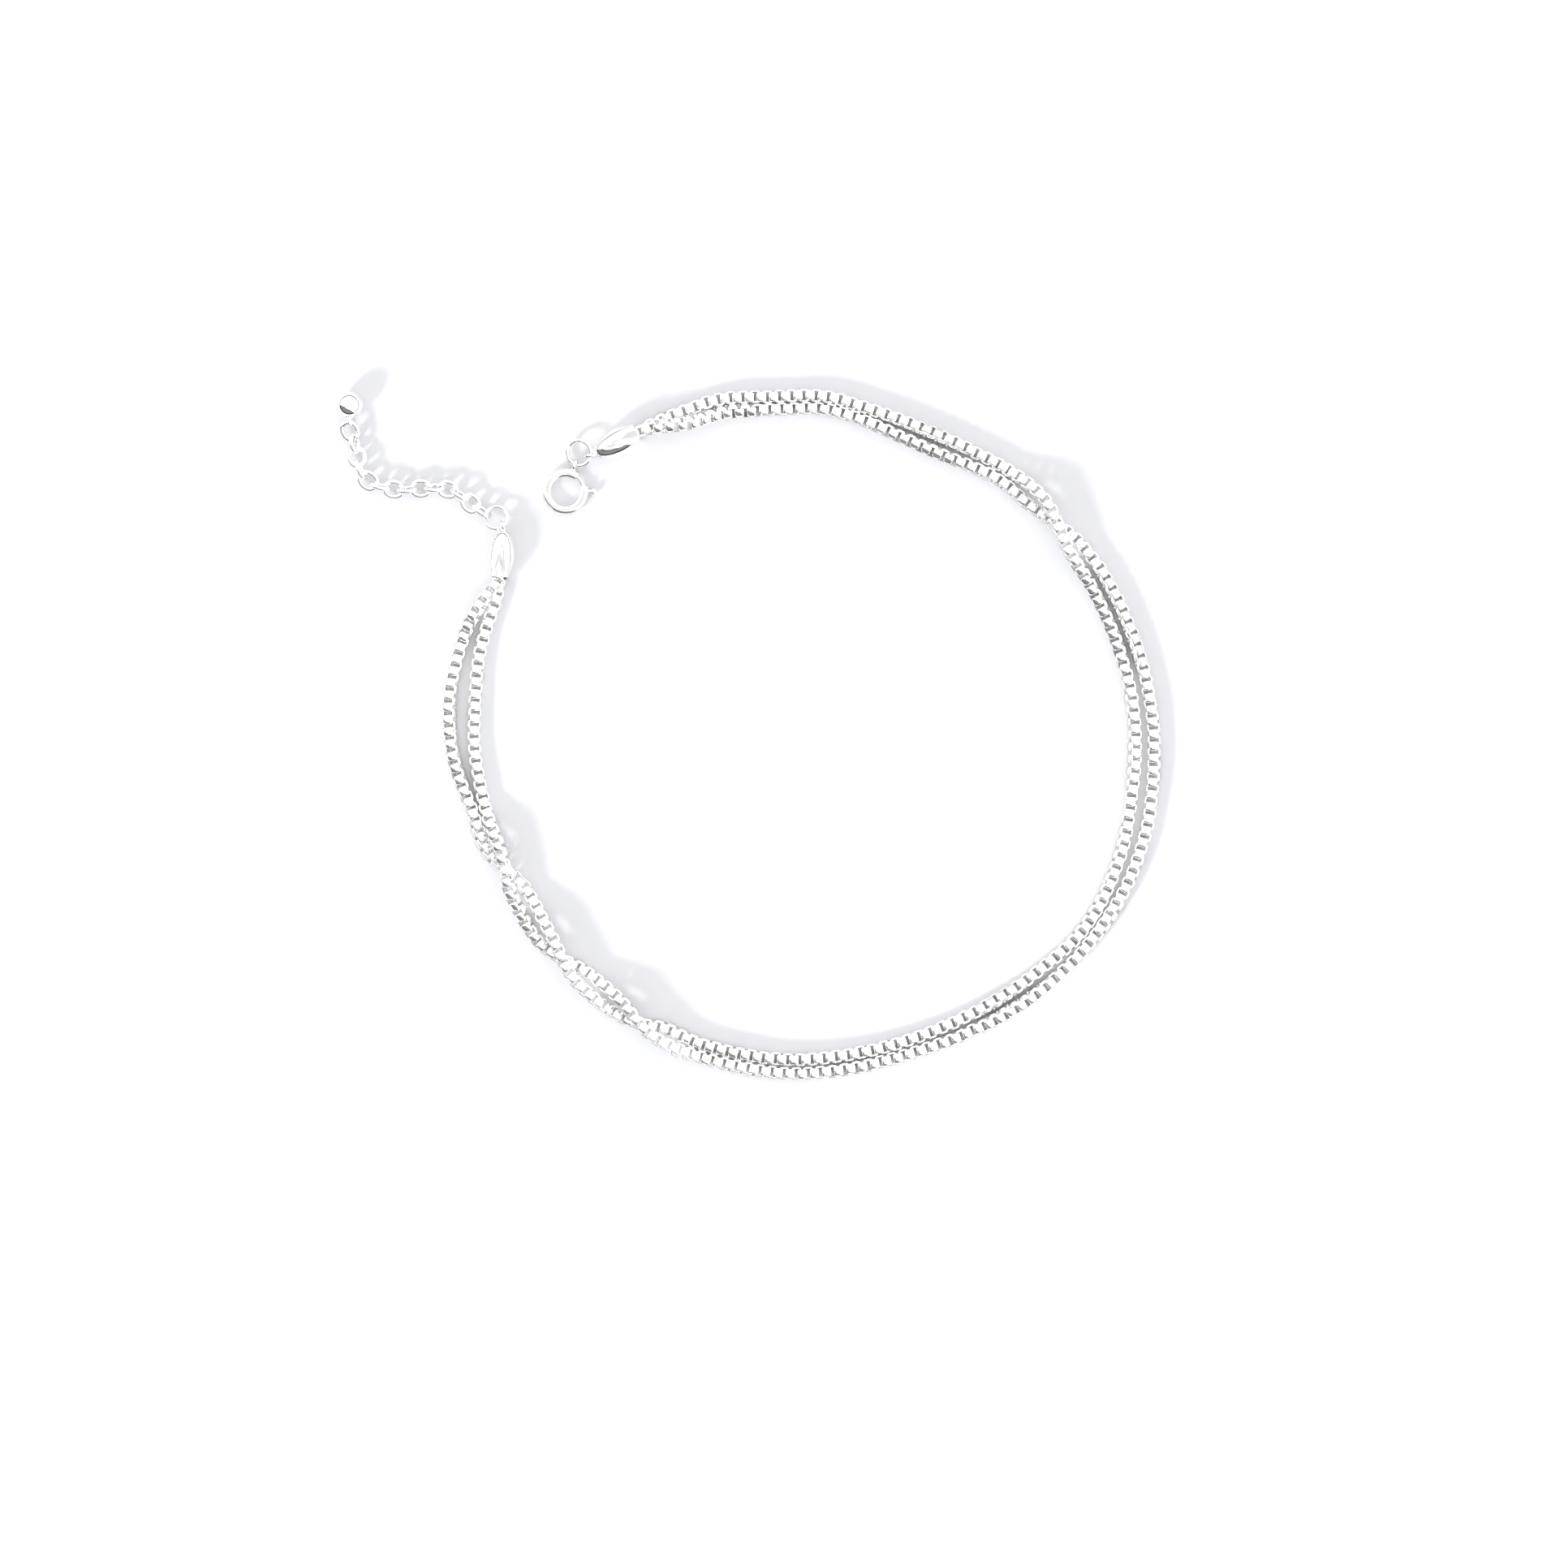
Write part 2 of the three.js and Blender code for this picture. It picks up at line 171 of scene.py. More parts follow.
class Route:
    """A smooth centripetal curve through given points, walked by its length."""

    SAMPLES_PER_SPAN = 24

    def __init__(self, points: Sequence[Vector], lowest: float) -> None:
        """Samples the curve and measures it.

        Args:
            points: The points it runs through.
            lowest: The height it never goes below.
        """
        first = points[0] * 2.0 - points[1]
        last = points[-1] * 2.0 - points[-2]
        knots = [first, *points, last]
        self.samples: list[Vector] = []
        for i in range(1, len(knots) - 2):
            for k in range(self.SAMPLES_PER_SPAN):
                self.samples.append(self._span(knots[i - 1 : i + 3], k / self.SAMPLES_PER_SPAN))
        self.samples.append(points[-1].copy())
        for sample in self.samples:
            sample.z = max(sample.z, lowest)
        self.reach = [0.0]
        for a, b in zip(self.samples, self.samples[1:]):
            self.reach.append(self.reach[-1] + (b - a).length)

    @staticmethod
    def _span(p: Sequence[Vector], t: float) -> Vector:
        """Gives a point of the curve between the middle two of four knots.

        Args:
            p: The four knots.
            t: From 0 at the second knot to 1 at the third.

        Returns:
            The point.
        """
        d0, d1, d2 = ((b - a).length ** 0.5 for a, b in zip(p, p[1:]))
        start = (p[1] - p[0]) / d0 - (p[2] - p[0]) / (d0 + d1) + (p[2] - p[1]) / d1
        end = (p[2] - p[1]) / d1 - (p[3] - p[1]) / (d1 + d2) + (p[3] - p[2]) / d2
        start, end = start * d1, end * d1
        square = p[2] * 3.0 - p[1] * 3.0 - start * 2.0 - end
        cube = p[1] * 2.0 - p[2] * 2.0 + start + end
        return p[1] + start * t + square * t * t + cube * t**3

    @property
    def length(self) -> float:
        """The whole length in metres."""
        return self.reach[-1]

    def tree(self) -> KDTree:
        """Puts the route's samples in a search tree.

        Returns:
            The tree.
        """
        tree = KDTree(len(self.samples))
        for i, sample in enumerate(self.samples):
            tree.insert(sample, i)
        tree.balance()
        return tree

    def point(self, distance: float) -> Vector:
        """Gives the point so far along the route; past its ends it runs on straight.

        Args:
            distance: Metres from the route's start.

        Returns:
            The point.
        """
        i = min(max(bisect.bisect_right(self.reach, distance) - 1, 0), len(self.samples) - 2)
        share = (distance - self.reach[i]) / (self.reach[i + 1] - self.reach[i])
        return self.samples[i].lerp(self.samples[i + 1], share)

    def heading(self, distance: float, reach: float = 0.4 * MM) -> Vector:
        """Gives the direction of travel, taken over a short reach either side."""
        return (self.point(distance + reach) - self.point(distance - reach)).normalized()


def upright(place: Vector, heading: Vector, roll: float = 0.0) -> Matrix:
    """Gives the matrix that puts local +X along a heading with local +Z as upright as it can be.

    Args:
        place: Where the local origin goes.
        heading: Direction of local +X.
        roll: Radians about the heading.

    Returns:
        The placing matrix.
    """
    side = UP.cross(heading).normalized()
    top = heading.cross(side)
    basis = Matrix((heading, side, top)).transposed().to_4x4()
    return Matrix.Translation(place) @ basis @ Matrix.Rotation(roll, 4, "X")


def bevel_edges(bm: bmesh.types.BMesh, edges: Iterable, offset: float, segments: int) -> None:
    """Rounds some edges of a mesh.

    Args:
        bm: The mesh.
        edges: The edges to round.
        offset: Width of the bevel in metres.
        segments: Faces across it.
    """
    bmesh.ops.bevel(
        bm, geom=list(edges), offset=offset, segments=segments, profile=0.5, affect="EDGES",
        material=-1, clamp_overlap=True,
    )


def extent(edge: bmesh.types.BMEdge) -> Vector:
    """Gives how far an edge runs along each axis."""
    return Vector([abs(part) for part in edge.verts[1].co - edge.verts[0].co])


def cap_edges(bm: bmesh.types.BMesh) -> list:
    """Gives the edges round a wire's flat ends, its only faces with more than four corners."""
    return [edge for edge in bm.edges if any(len(face.verts) > 4 for face in edge.link_faces)]


def add_circle(bm: bmesh.types.BMesh, radius: float, sides: int, place: Matrix) -> list:
    """Adds an open ring of edges.

    Args:
        bm: The mesh to add to.
        radius: Radius of the ring.
        sides: How many edges it has.
        place: Where its middle goes, with its axis along the place's Z.

    Returns:
        Its edges.
    """
    made = bmesh.ops.create_circle(bm, cap_ends=False, segments=sides, radius=radius, matrix=place)
    return list(dict.fromkeys(edge for vert in made["verts"] for edge in vert.link_edges))


def add_torus(
    bm: bmesh.types.BMesh, radius: float, wire: float, steps: int, sides: int, arc: float = 360.0
) -> None:
    """Adds a ring of round wire about Z, closed or with two flat ends.

    Args:
        bm: The mesh to add to.
        radius: Radius of the middle of the wire.
        wire: Radius of the wire.
        steps: Steps round the ring.
        sides: Sides of the wire.
        arc: Degrees of the ring, from +X; 360 closes it.
    """
    place = Matrix.Translation((radius, 0.0, 0.0)) @ turn(90.0, "X")
    edges = add_circle(bm, wire, sides, place)
    geom = [*dict.fromkeys(vert for edge in edges for vert in edge.verts), *edges]
    closed = arc >= 360.0
    if not closed:
        geom += bmesh.ops.contextual_create(bm, geom=edges)["faces"]
    bmesh.ops.spin(
        bm, geom=geom, cent=(0.0, 0.0, 0.0), axis=(0.0, 0.0, 1.0), angle=math.radians(arc),
        steps=steps, use_merge=closed,
    )


def add_lathe(
    bm: bmesh.types.BMesh, profile: Sequence[tuple[float, float]], steps: int
) -> None:
    """Spins an outline of (distance along X, radius) points about the X axis.

    Args:
        bm: The empty mesh to add to.
        profile: The outline; it closes where a radius is 0.
        steps: Steps round the axis.
    """
    verts = [bm.verts.new((along, 0.0, radius)) for along, radius in profile]
    edges = [bm.edges.new(pair) for pair in zip(verts, verts[1:])]
    bmesh.ops.spin(
        bm, geom=[*verts, *edges], cent=(0.0, 0.0, 0.0), axis=(1.0, 0.0, 0.0),
        angle=math.tau, steps=steps, use_merge=True,
    )
    bmesh.ops.remove_doubles(bm, verts=bm.verts[:], dist=TOUCHING)


def new_piece(
    name: str, bm: bmesh.types.BMesh, smooth_below: float = 40.0, recalculate: bool = True
) -> bpy.types.Object:
    """Turns a bmesh into an object at the origin, and frees the bmesh.

    Args:
        name: The object's name.
        bm: The mesh, already in place.
        smooth_below: Edges sharper than so many degrees stay crisp.
        recalculate: Whether to turn all faces outwards first.

    Returns:
        The object, linked to the scene.
    """
    if recalculate:
        bmesh.ops.recalc_face_normals(bm, faces=bm.faces[:])
    mesh = bpy.data.meshes.new(name)
    bm.to_mesh(mesh)
    bm.free()
    mesh.shade_smooth()
    mesh.set_sharp_from_angle(angle=math.radians(smooth_below))
    obj = bpy.data.objects.new(name, mesh)
    bpy.context.scene.collection.objects.link(obj)
    return obj


def wire_eye(
    name: str, radius: float, wire: float, place: Matrix, steps: int = 36, sides: int = 14
) -> bpy.types.Object:
    """Makes an eye of round wire.

    Args:
        name: The object's name.
        radius: Radius of the middle of the wire.
        wire: Radius of the wire.
        place: Where the eye goes, with its hole along the place's Z.
        steps: Steps round the eye.
        sides: Sides of the wire.

    Returns:
        The eye.
    """
    bm = bmesh.new()
    add_torus(bm, radius, wire, steps, sides)
    bmesh.ops.transform(bm, matrix=place, verts=bm.verts[:])
    return new_piece(name, bm)


def solder_blob(name: str, size: Sequence[float], place: Matrix) -> bpy.types.Object:
    """Makes a smooth blob of solder.

    Args:
        name: The object's name.
        size: Half of its length along each axis.
        place: Where it goes.

    Returns:
        The blob.
    """
    bm = bmesh.new()
    bmesh.ops.create_uvsphere(bm, u_segments=18, v_segments=10, radius=1.0)
    bmesh.ops.scale(bm, vec=size, verts=bm.verts[:])
    bmesh.ops.transform(bm, matrix=place, verts=bm.verts[:])
    return new_piece(name, bm)


def unite(
    obj: bpy.types.Object, tools: Sequence[tuple[str, bpy.types.Object]], smooth_below: float = 35.0
) -> None:
    """Joins or cuts an object by others, which are then removed.

    Args:
        obj: The object that is changed.
        tools: Pairs of a boolean operation and the object that does it.
        smooth_below: Edges sharper than so many degrees stay crisp.
    """
    for operation, tool in tools:
        step = obj.modifiers.new("step", "BOOLEAN")
        step.operation = operation
        step.solver = "EXACT"
        step.object = tool
    bpy.context.view_layer.update()
    evaluated = obj.evaluated_get(bpy.context.evaluated_depsgraph_get())
    shaped = bpy.data.meshes.new_from_object(evaluated)
    obj.modifiers.clear()
    spent = obj.data
    obj.data = shaped
    bpy.data.meshes.remove(spent)
    shaped.name = obj.name
    shaped.shade_smooth()
    shaped.set_sharp_from_angle(angle=math.radians(smooth_below))
    for _, tool in tools:
        bpy.data.objects.remove(tool)


# Finishes -----------------------------------------------------------------------------------------


class Sketch:
    """A node tree that is filled in short lines."""

    def __init__(self, tree: bpy.types.NodeTree) -> None:
        """Clears the tree and keeps it."""
        tree.nodes.clear()
        self.tree = tree

    def add(
        self, kind: str, settings: dict[str, object] | None = None, **inputs: object
    ) -> bpy.types.Node:
        """Adds a node.

        Args:
            kind: The node's type, without its ShaderNode prefix.
            settings: Its own properties.
            **inputs: Values or sockets for its inputs, by name with _ for a space, or by place as
                i0, i1 and so on.

        Returns:
            The node.
        """
        node = self.tree.nodes.new("ShaderNode" + kind)
        for key, value in (settings or {}).items():
            setattr(node, key, value)
        for key, value in inputs.items():
            by_place = key[0] == "i" and key[1:].isdigit()
            socket = node.inputs[int(key[1:])] if by_place else node.inputs[key.replace("_", " ")]
            if isinstance(value, bpy.types.NodeSocket):
                self.tree.links.new(value, socket)
            else:
                socket.default_value = value
        return node

    def math(
        self, operation: str, a: object, b: object = 0.0, clamp: bool = False
    ) -> bpy.types.NodeSocket:
        """Adds a Math node and gives its output."""
        settings = {"operation": operation, "use_clamp": clamp}
        return self.add("Math", settings, i0=a, i1=b).outputs[0]

    def ramp(
        self, value: object, low: float, high: float, to_low: object, to_high: object
    ) -> bpy.types.NodeSocket:
        """Adds a smooth Map Range node.

        Args:
            value: What is mapped, a socket or a number.
            low: Where the output is still to_low.
            high: Where it has become to_high.
            to_low: The output below low.
            to_high: The output above high.

        Returns:
            The node's output.
        """
        node = self.add(
            "MapRange", {"interpolation_type": "SMOOTHSTEP"}, i0=value, i1=low, i2=high, i3=to_low,
            i4=to_high,
        )
        return node.outputs[0]

    def mix(self, share: object, a: object, b: object) -> bpy.types.NodeSocket:
        """Adds a Mix node for colours, its inputs 6 and 7, and gives its output."""
        return self.add("Mix", {"data_type": "RGBA"}, i0=share, i6=a, i7=b).outputs[2]


class SurfaceEffects:
    """The effects that every silver finish shares, each a node group that is built once."""

    CLOUD_EDGE = (0.42, 0.75)
    HAZE = 0.45
    # How far painted shade in hollows, with any random dull polish, darkens and dulls the silver.
    SHADE_AND_POLISH_DEPTH = 0.85
    MARK_TILT = (0.4, 0.2)
    MARK_TURNS = (0.35, 2.1)
    MARK_STRETCH = (1.0, 0.06, 1.0)
    MARK_EDGE = (0.62, 0.72)
    MARK_CUT = 0.25
    DENT_SCALE = 420.0

    def __init__(self) -> None:
        """Builds the groups."""
        self.patina_and_hollow_shade = self._patina_and_hollow_shade()
        self.scratches = self._scratches()

    @staticmethod
    def _group(
        name: str, inputs: dict[str, tuple[str, object]], outputs: dict[str, str]
    ) -> tuple[Sketch, bpy.types.Node, bpy.types.Node]:
        """Starts a node group.

        Args:
            name: The group's name.
            inputs: Socket kind and default value of each input.
            outputs: Socket kind of each output.

        Returns:
            The sketch of the group, its input node and its output node.
        """
        tree = bpy.data.node_groups.new(name, "ShaderNodeTree")
        for label, (kind, value) in inputs.items():
            socket = tree.interface.new_socket(
                name=label, in_out="INPUT", socket_type="NodeSocket" + kind
            )
            if value is not None:
                socket.default_value = value
        for label, kind in outputs.items():
            tree.interface.new_socket(
                name=label, in_out="OUTPUT", socket_type="NodeSocket" + kind
            )
        sketch = Sketch(tree)
        return sketch, tree.nodes.new("NodeGroupInput"), tree.nodes.new("NodeGroupOutput")

    def _patina_and_hollow_shade(self) -> bpy.types.NodeTree:
        """Makes the cloudy dulling of the polish, and painted shade that darkens and dulls the metal in
        its hollows.

        Returns:
            The node group.
        """
        sketch, given, result = self._group(
            "silver_patina_and_hollow_shade",
            {
                "Vector": ("Vector", None), "Bright": ("Color", (0.95, 0.95, 0.94, 1.0)),
                "Dull": ("Color", (0.6, 0.59, 0.57, 1.0)), "Shelter": ("Float", 0.0),
                "Cloud Size": ("Float", 300.0), "Smooth": ("Float", 0.06), "Rough": ("Float", 0.22),
            },
            {"Color": "Color", "Roughness": "Float"},
        )
        clouds = sketch.add(
            "TexNoise", Vector=given.outputs["Vector"], Scale=given.outputs["Cloud Size"],
            Detail=4.0, Roughness=0.6,
        ).outputs[0]
        haze = sketch.ramp(clouds, *self.CLOUD_EDGE, 0.0, self.HAZE)
        # Painted shade: metal in hollows is painted darker and duller.
        shade_and_polish_dulling = sketch.math("MULTIPLY", given.outputs["Shelter"], self.SHADE_AND_POLISH_DEPTH)
        dulling = sketch.math("ADD", haze, shade_and_polish_dulling, clamp=True)
        color = sketch.mix(dulling, given.outputs["Bright"], given.outputs["Dull"])
        rough = sketch.add(
            "Mix", {"data_type": "FLOAT"}, i0=dulling, i2=given.outputs["Smooth"],
            i3=given.outputs["Rough"],
        )
        sketch.tree.links.new(color, result.inputs["Color"])
        sketch.tree.links.new(rough.outputs[0], result.inputs["Roughness"])
        return sketch.tree

    def _scratches(self) -> bpy.types.NodeTree:
        """Makes fine handling marks, stretched noise in two crossing directions over soft dents.

        Returns:
            The node group.
        """
        sketch, given, result = self._group(
            "handling_marks",
            {"Vector": ("Vector", None), "Size": ("Float", 1200.0), "Dents": ("Float", 0.5)},
            {"Height": "Float"},
        )
        marks = []
        for angle in self.MARK_TURNS:
            turned = sketch.add(
                "Mapping", Vector=given.outputs["Vector"], Rotation=(*self.MARK_TILT, angle),
                Scale=self.MARK_STRETCH,
            )
            noise = sketch.add(
                "TexNoise", Vector=turned.outputs[0], Scale=given.outputs["Size"], Detail=2.0,
                Roughness=0.5,
            )
            marks.append(sketch.ramp(noise.outputs[0], *self.MARK_EDGE, 0.0, 1.0))
        cuts = sketch.math("MULTIPLY", sketch.math("MAXIMUM", *marks), self.MARK_CUT)
        soft = sketch.add(
            "TexNoise", Vector=given.outputs["Vector"], Scale=self.DENT_SCALE, Detail=1.0
        )
        dents = sketch.math("MULTIPLY", soft.outputs[0], given.outputs["Dents"])
        sketch.tree.links.new(sketch.math("SUBTRACT", dents, cuts), result.inputs["Height"])
        return sketch.tree


@dataclass(frozen=True)
class SilverFinish:
    """Polished silver with its own polish, cloudiness and depth of handling marks."""

    name: str
    bright: tuple[float, float, float] = (0.955, 0.955, 0.95)
    dull: tuple[float, float, float] = (0.62, 0.61, 0.6)
    smooth: float = 0.05
    rough: float = 0.2
    cloud_size: float = 320.0
    mark_size: float = 1500.0
    mark_depth: float = 0.000004
    dents: float = 0.5

    def material(self, effects: SurfaceEffects) -> bpy.types.Material:
        """Builds the material.

        Args:
            effects: The shared node groups.

        Returns:
            The material.
        """
        material = bpy.data.materials.new(self.name)
        material.use_nodes = True
        material.diffuse_color = (*self.bright, 1.0)
        sketch = Sketch(material.node_tree)
        place = sketch.add("TexCoord").outputs["Object"]
        # This attribute carries painted shade in hollows, and on the chains a random dull polish per
        # link too.
        shelter = sketch.add("Attribute", {"attribute_name": "shelter"}).outputs["Fac"]
        patina_and_hollow_shade = sketch.add(
            "Group", {"node_tree": effects.patina_and_hollow_shade}, Vector=place, Bright=(*self.bright, 1.0),
            Dull=(*self.dull, 1.0), Shelter=shelter, Cloud_Size=self.cloud_size, Smooth=self.smooth,
            Rough=self.rough,
        )
        marks = sketch.add(
            "Group", {"node_tree": effects.scratches}, Vector=place, Size=self.mark_size,
            Dents=self.dents,
        )
        bump = sketch.add(
            "Bump", Strength=1.0, Distance=self.mark_depth, Height=marks.outputs["Height"]
        )
        shader = sketch.add(
            "BsdfPrincipled", Base_Color=patina_and_hollow_shade.outputs["Color"], Roughness=patina_and_hollow_shade.outputs["Roughness"],
            Metallic=1.0, Normal=bump.outputs[0],
        )
        sketch.add("OutputMaterial", Surface=shader.outputs[0])
        return material


@dataclass
class Workshop:
    """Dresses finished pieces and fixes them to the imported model."""

    effects: SurfaceEffects = field(default_factory=SurfaceEffects)
    materials: dict[str, bpy.types.Material] = field(default_factory=dict)

    def dress(
        self, obj: bpy.types.Object, finish: SilverFinish, slot: Slot, body: Body, *nodes: str
    ) -> bpy.types.Object:
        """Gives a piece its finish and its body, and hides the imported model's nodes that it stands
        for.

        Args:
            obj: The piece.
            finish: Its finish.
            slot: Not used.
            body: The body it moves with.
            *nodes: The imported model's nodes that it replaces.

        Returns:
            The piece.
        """
        if finish.name not in self.materials:
            self.materials[finish.name] = finish.material(self.effects)
        obj.data.materials.clear()
        obj.data.materials.append(self.materials[finish.name])
        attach(obj, body.value)
        if nodes:
            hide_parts(*nodes)
        LOG.info("%s: %d faces on %s", obj.name, len(obj.data.polygons), body.value)
        return obj


CHAIN_SILVER = SilverFinish(
    "box_chain_silver", bright=(0.985, 0.985, 0.98), dull=(0.95, 0.945, 0.94), smooth=0.08,
    rough=0.34,
)
CAP_SILVER = SilverFinish("end_cap_silver", smooth=0.04, rough=0.12, mark_depth=0.000002)
CLASP_SILVER = SilverFinish("clasp_silver", smooth=0.04, rough=0.14, mark_depth=0.000002)
WIRE_SILVER = SilverFinish("wire_silver", smooth=0.06, rough=0.18, mark_depth=0.000003)
BALL_SILVER = SilverFinish("ball_silver", smooth=0.03, rough=0.1, mark_depth=0.000001)


# Box chains ---------------------------------------------------------------------------------------


@dataclass
class BoxChain:
    """One box chain: square links of flat strip, each turned a quarter from the last.

    A link's edges that bend more than sharp, in radians, are bevelled on its outside, where corner_from
    is the share of its size at which a corner starts. Its middle is painted darker and duller, a
    painted shade in its hollows that fades out over the given edge, and each link adds a random dull
    polish. The caps press the last links smaller. A wave is a slow twist's degrees, wavelength in
    millimetres and phase, which fades where the chains come nearer than free_from. A twist holds a
    stretch, from start to end in metres, at so many degrees. Slack is the most that one link is askew,
    in degrees.
    """

    strand: Strand
    name: str
    node: str
    seed: int
    tube_width: float = 1.35 * MM
    width: float = 1.42 * MM
    strip_width: float = 1.04 * MM
    strip: float = 0.2 * MM
    bend: float = 0.26 * MM
    rim_bevel: float = 0.09 * MM
    pitch: float = 0.675 * MM
    lap: float = 0.03 * MM
    corner_from: float = 0.56
    sharp: float = 1.0
    # Depth of the painted shade in a link's hollow middle.
    shelter: float = 0.5
    hollow_shade_edge: tuple[float, float] = (0.45, 0.95)
    run_on: tuple[float, float] = (0.6 * MM, 0.95 * MM)
    pressed: float = 0.84
    pressed_length: float = 1.3 * MM
    uneven_polish: float = 0.6
    slack: float = 6.0
    free_from: tuple[float, float] = (1.42 * MM, 1.75 * MM)
    waves: tuple[tuple[float, float, float], ...] = (
        (17.0, 57.0, 0.3), (12.0, 23.0, 1.9), (5.0, 9.0, 4.0),
    )
    twists: tuple[tuple[float, float, float], ...] = ()
    twist_ease: float = 1.5 * MM

    @property
    def link_length(self) -> float:
        """Length of one link over both of its ends."""
        return self.pitch + 2.0 * self.strip + self.lap

    def route(self, strand: Strand) -> Route:
        """Gives a chain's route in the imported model's frame.

        Args:
            strand: Which of the two chains.

        Returns:
            The route of the middles of its links.
        """
        points = []
        for row in CHAIN_ROUTES:
            radius, lift = row[strand.value]
            points.append(polar(90.0 - row[0], radius, self.tube_width / 2 + lift) + LOOP_CENTRE)
        return Route(points, self.tube_width / 2)

    def roll(self, distance: float, room: float) -> float:
        """Gives the slow twist of the chain so far along it.

        Args:
            distance: Metres along the chain.
            room: From 0, where the other chain touches it, to 1, where it's free to turn.

        Returns:
            The twist in radians.
        """
        total = 0.0
        for degrees, wavelength, phase in self.waves:
            angle = math.tau * distance / (wavelength * MM) + phase + self.seed
            total += room * degrees * math.sin(angle)
        for start, end, degrees in self.twists:
            rise = smoothstep(distance, start, start + self.twist_ease)
            fall = smoothstep(-distance, -end, self.twist_ease - end)
            total += (degrees - total) * (rise * fall)
        return math.radians(total)

    def _on_rim(self, edge: bmesh.types.BMEdge) -> bool:
        """Tells whether an edge is one of the sharp rims round the outside of a link.

        Args:
            edge: An edge of the link.

        Returns:
            Whether it is.
        """
        middle = (edge.verts[0].co + edge.verts[1].co) / 2
        at_end = abs(middle.x) > self.link_length / 2 - self.strip / 2
        at_side = abs(middle.z) > self.width / 2 - self.strip / 2
        reach = math.hypot(middle.x / self.link_length, middle.z / self.width)
        outside = at_end or at_side or reach > self.corner_from
        return extent(edge).y < TOUCHING and edge.calc_face_angle(0.0) > self.sharp and outside

    def link(self) -> bpy.types.Mesh:
        """Builds one link: a strip bent into a rounded square, its hole along Y.

        Returns:
            The link, about the origin.
        """
        bm = bmesh.new()
        bmesh.ops.create_cube(bm, size=1.0)
        size = (self.link_length, self.strip_width, self.width)
        bmesh.ops.scale(bm, vec=size, verts=bm.verts[:])
        open_ends = [face for face in bm.faces if abs(face.normal.y) > 0.5]
        bmesh.ops.delete(bm, geom=open_ends, context="FACES_ONLY")
        corners = [edge for edge in bm.edges if extent(edge).y > self.strip]
        bevel_edges(bm, corners, self.bend, segments=2)
        bmesh.ops.recalc_face_normals(bm, faces=bm.faces[:])
        bmesh.ops.solidify(bm, geom=bm.faces[:], thickness=self.strip)
        bmesh.ops.recalc_face_normals(bm, faces=bm.faces[:])
        rims = [edge for edge in bm.edges if self._on_rim(edge)]
        bevel_edges(bm, rims, self.rim_bevel, segments=1)
        # Painted shade: the hollow middle of the link is painted darker and duller.
        shelter = bm.verts.layers.float.new("shelter")
        for vert in bm.verts:
            out = max(abs(vert.co.z), abs(vert.co.y)) / (self.width / 2)
            vert[shelter] = self.shelter * (1.0 - smoothstep(out, *self.hollow_shade_edge))
        mesh = bpy.data.meshes.new("link")
        bm.to_mesh(mesh)
        bm.free()
        return mesh

    def build(self, workshop: Workshop) -> bpy.types.Object:
        """Lays the links along the route as one piece.

        Args:
            workshop: What dresses the piece.

        Returns:
            The chain.
        """
        route = self.route(self.strand)
        other = Strand.FIRST if self.strand is Strand.SECOND else Strand.SECOND
        beside = self.route(other).tree()
        link = self.link()
        noise = random.Random(self.seed)
        bm = bmesh.new()
        shelter = bm.verts.layers.float.new("shelter")
        whole = route.length + sum(self.run_on)
        count = round(whole / self.pitch)
        gap = whole / count
        for i in range(count + 1):
            distance = i * gap - self.run_on[0]
            place = route.point(distance)
            room = smoothstep(beside.find(place)[2], *self.free_from)
            roll = self.roll(distance, room) + math.radians(noise.uniform(-self.slack, self.slack))
            place.z += self.settle(roll, place.z)
            quarter = math.pi / 2 if i % 2 else 0.0
            size = self.squeeze(min(distance, route.length - distance))
            press = Matrix.Diagonal((1.0, size, size, 1.0))
            matrix = upright(place, route.heading(distance), roll + quarter) @ press
            copy = link.copy()
            copy.transform(matrix)
            known = len(bm.verts)
            bm.from_mesh(copy)
            bpy.data.meshes.remove(copy)
            bm.verts.ensure_lookup_table()
            # A random dull polish per link is added on top of the painted hollow shade.
            polish = noise.uniform(0.0, self.uneven_polish)
            for vert in bm.verts[known:]:
                vert[shelter] += polish
        bpy.data.meshes.remove(link)
        obj = new_piece(self.name, bm, smooth_below=60.0, recalculate=False)
        return workshop.dress(obj, CHAIN_SILVER, Slot.BOX_CHAIN, Body.ROOT, self.node)

    def squeeze(self, from_end: float) -> float:
        """Gives a link's share of the full size across, by its distance from the nearer end."""
        return self.pressed + (1.0 - self.pressed) * smoothstep(from_end, 0.0, self.pressed_length)

    def settle(self, roll: float, height: float) -> float:
        """Gives how far a link rises so that its corners stay off the floor.

        Args:
            roll: The link's roll in radians.
            height: Height of its middle.

        Returns:
            The rise in metres.
        """
        reach = self.width / 2 * abs(math.cos(roll)) + self.strip_width / 2 * abs(math.sin(roll))
        return max(0.0, self.width / 2 - height, reach - height)


# End caps -----------------------------------------------------------------------------------------


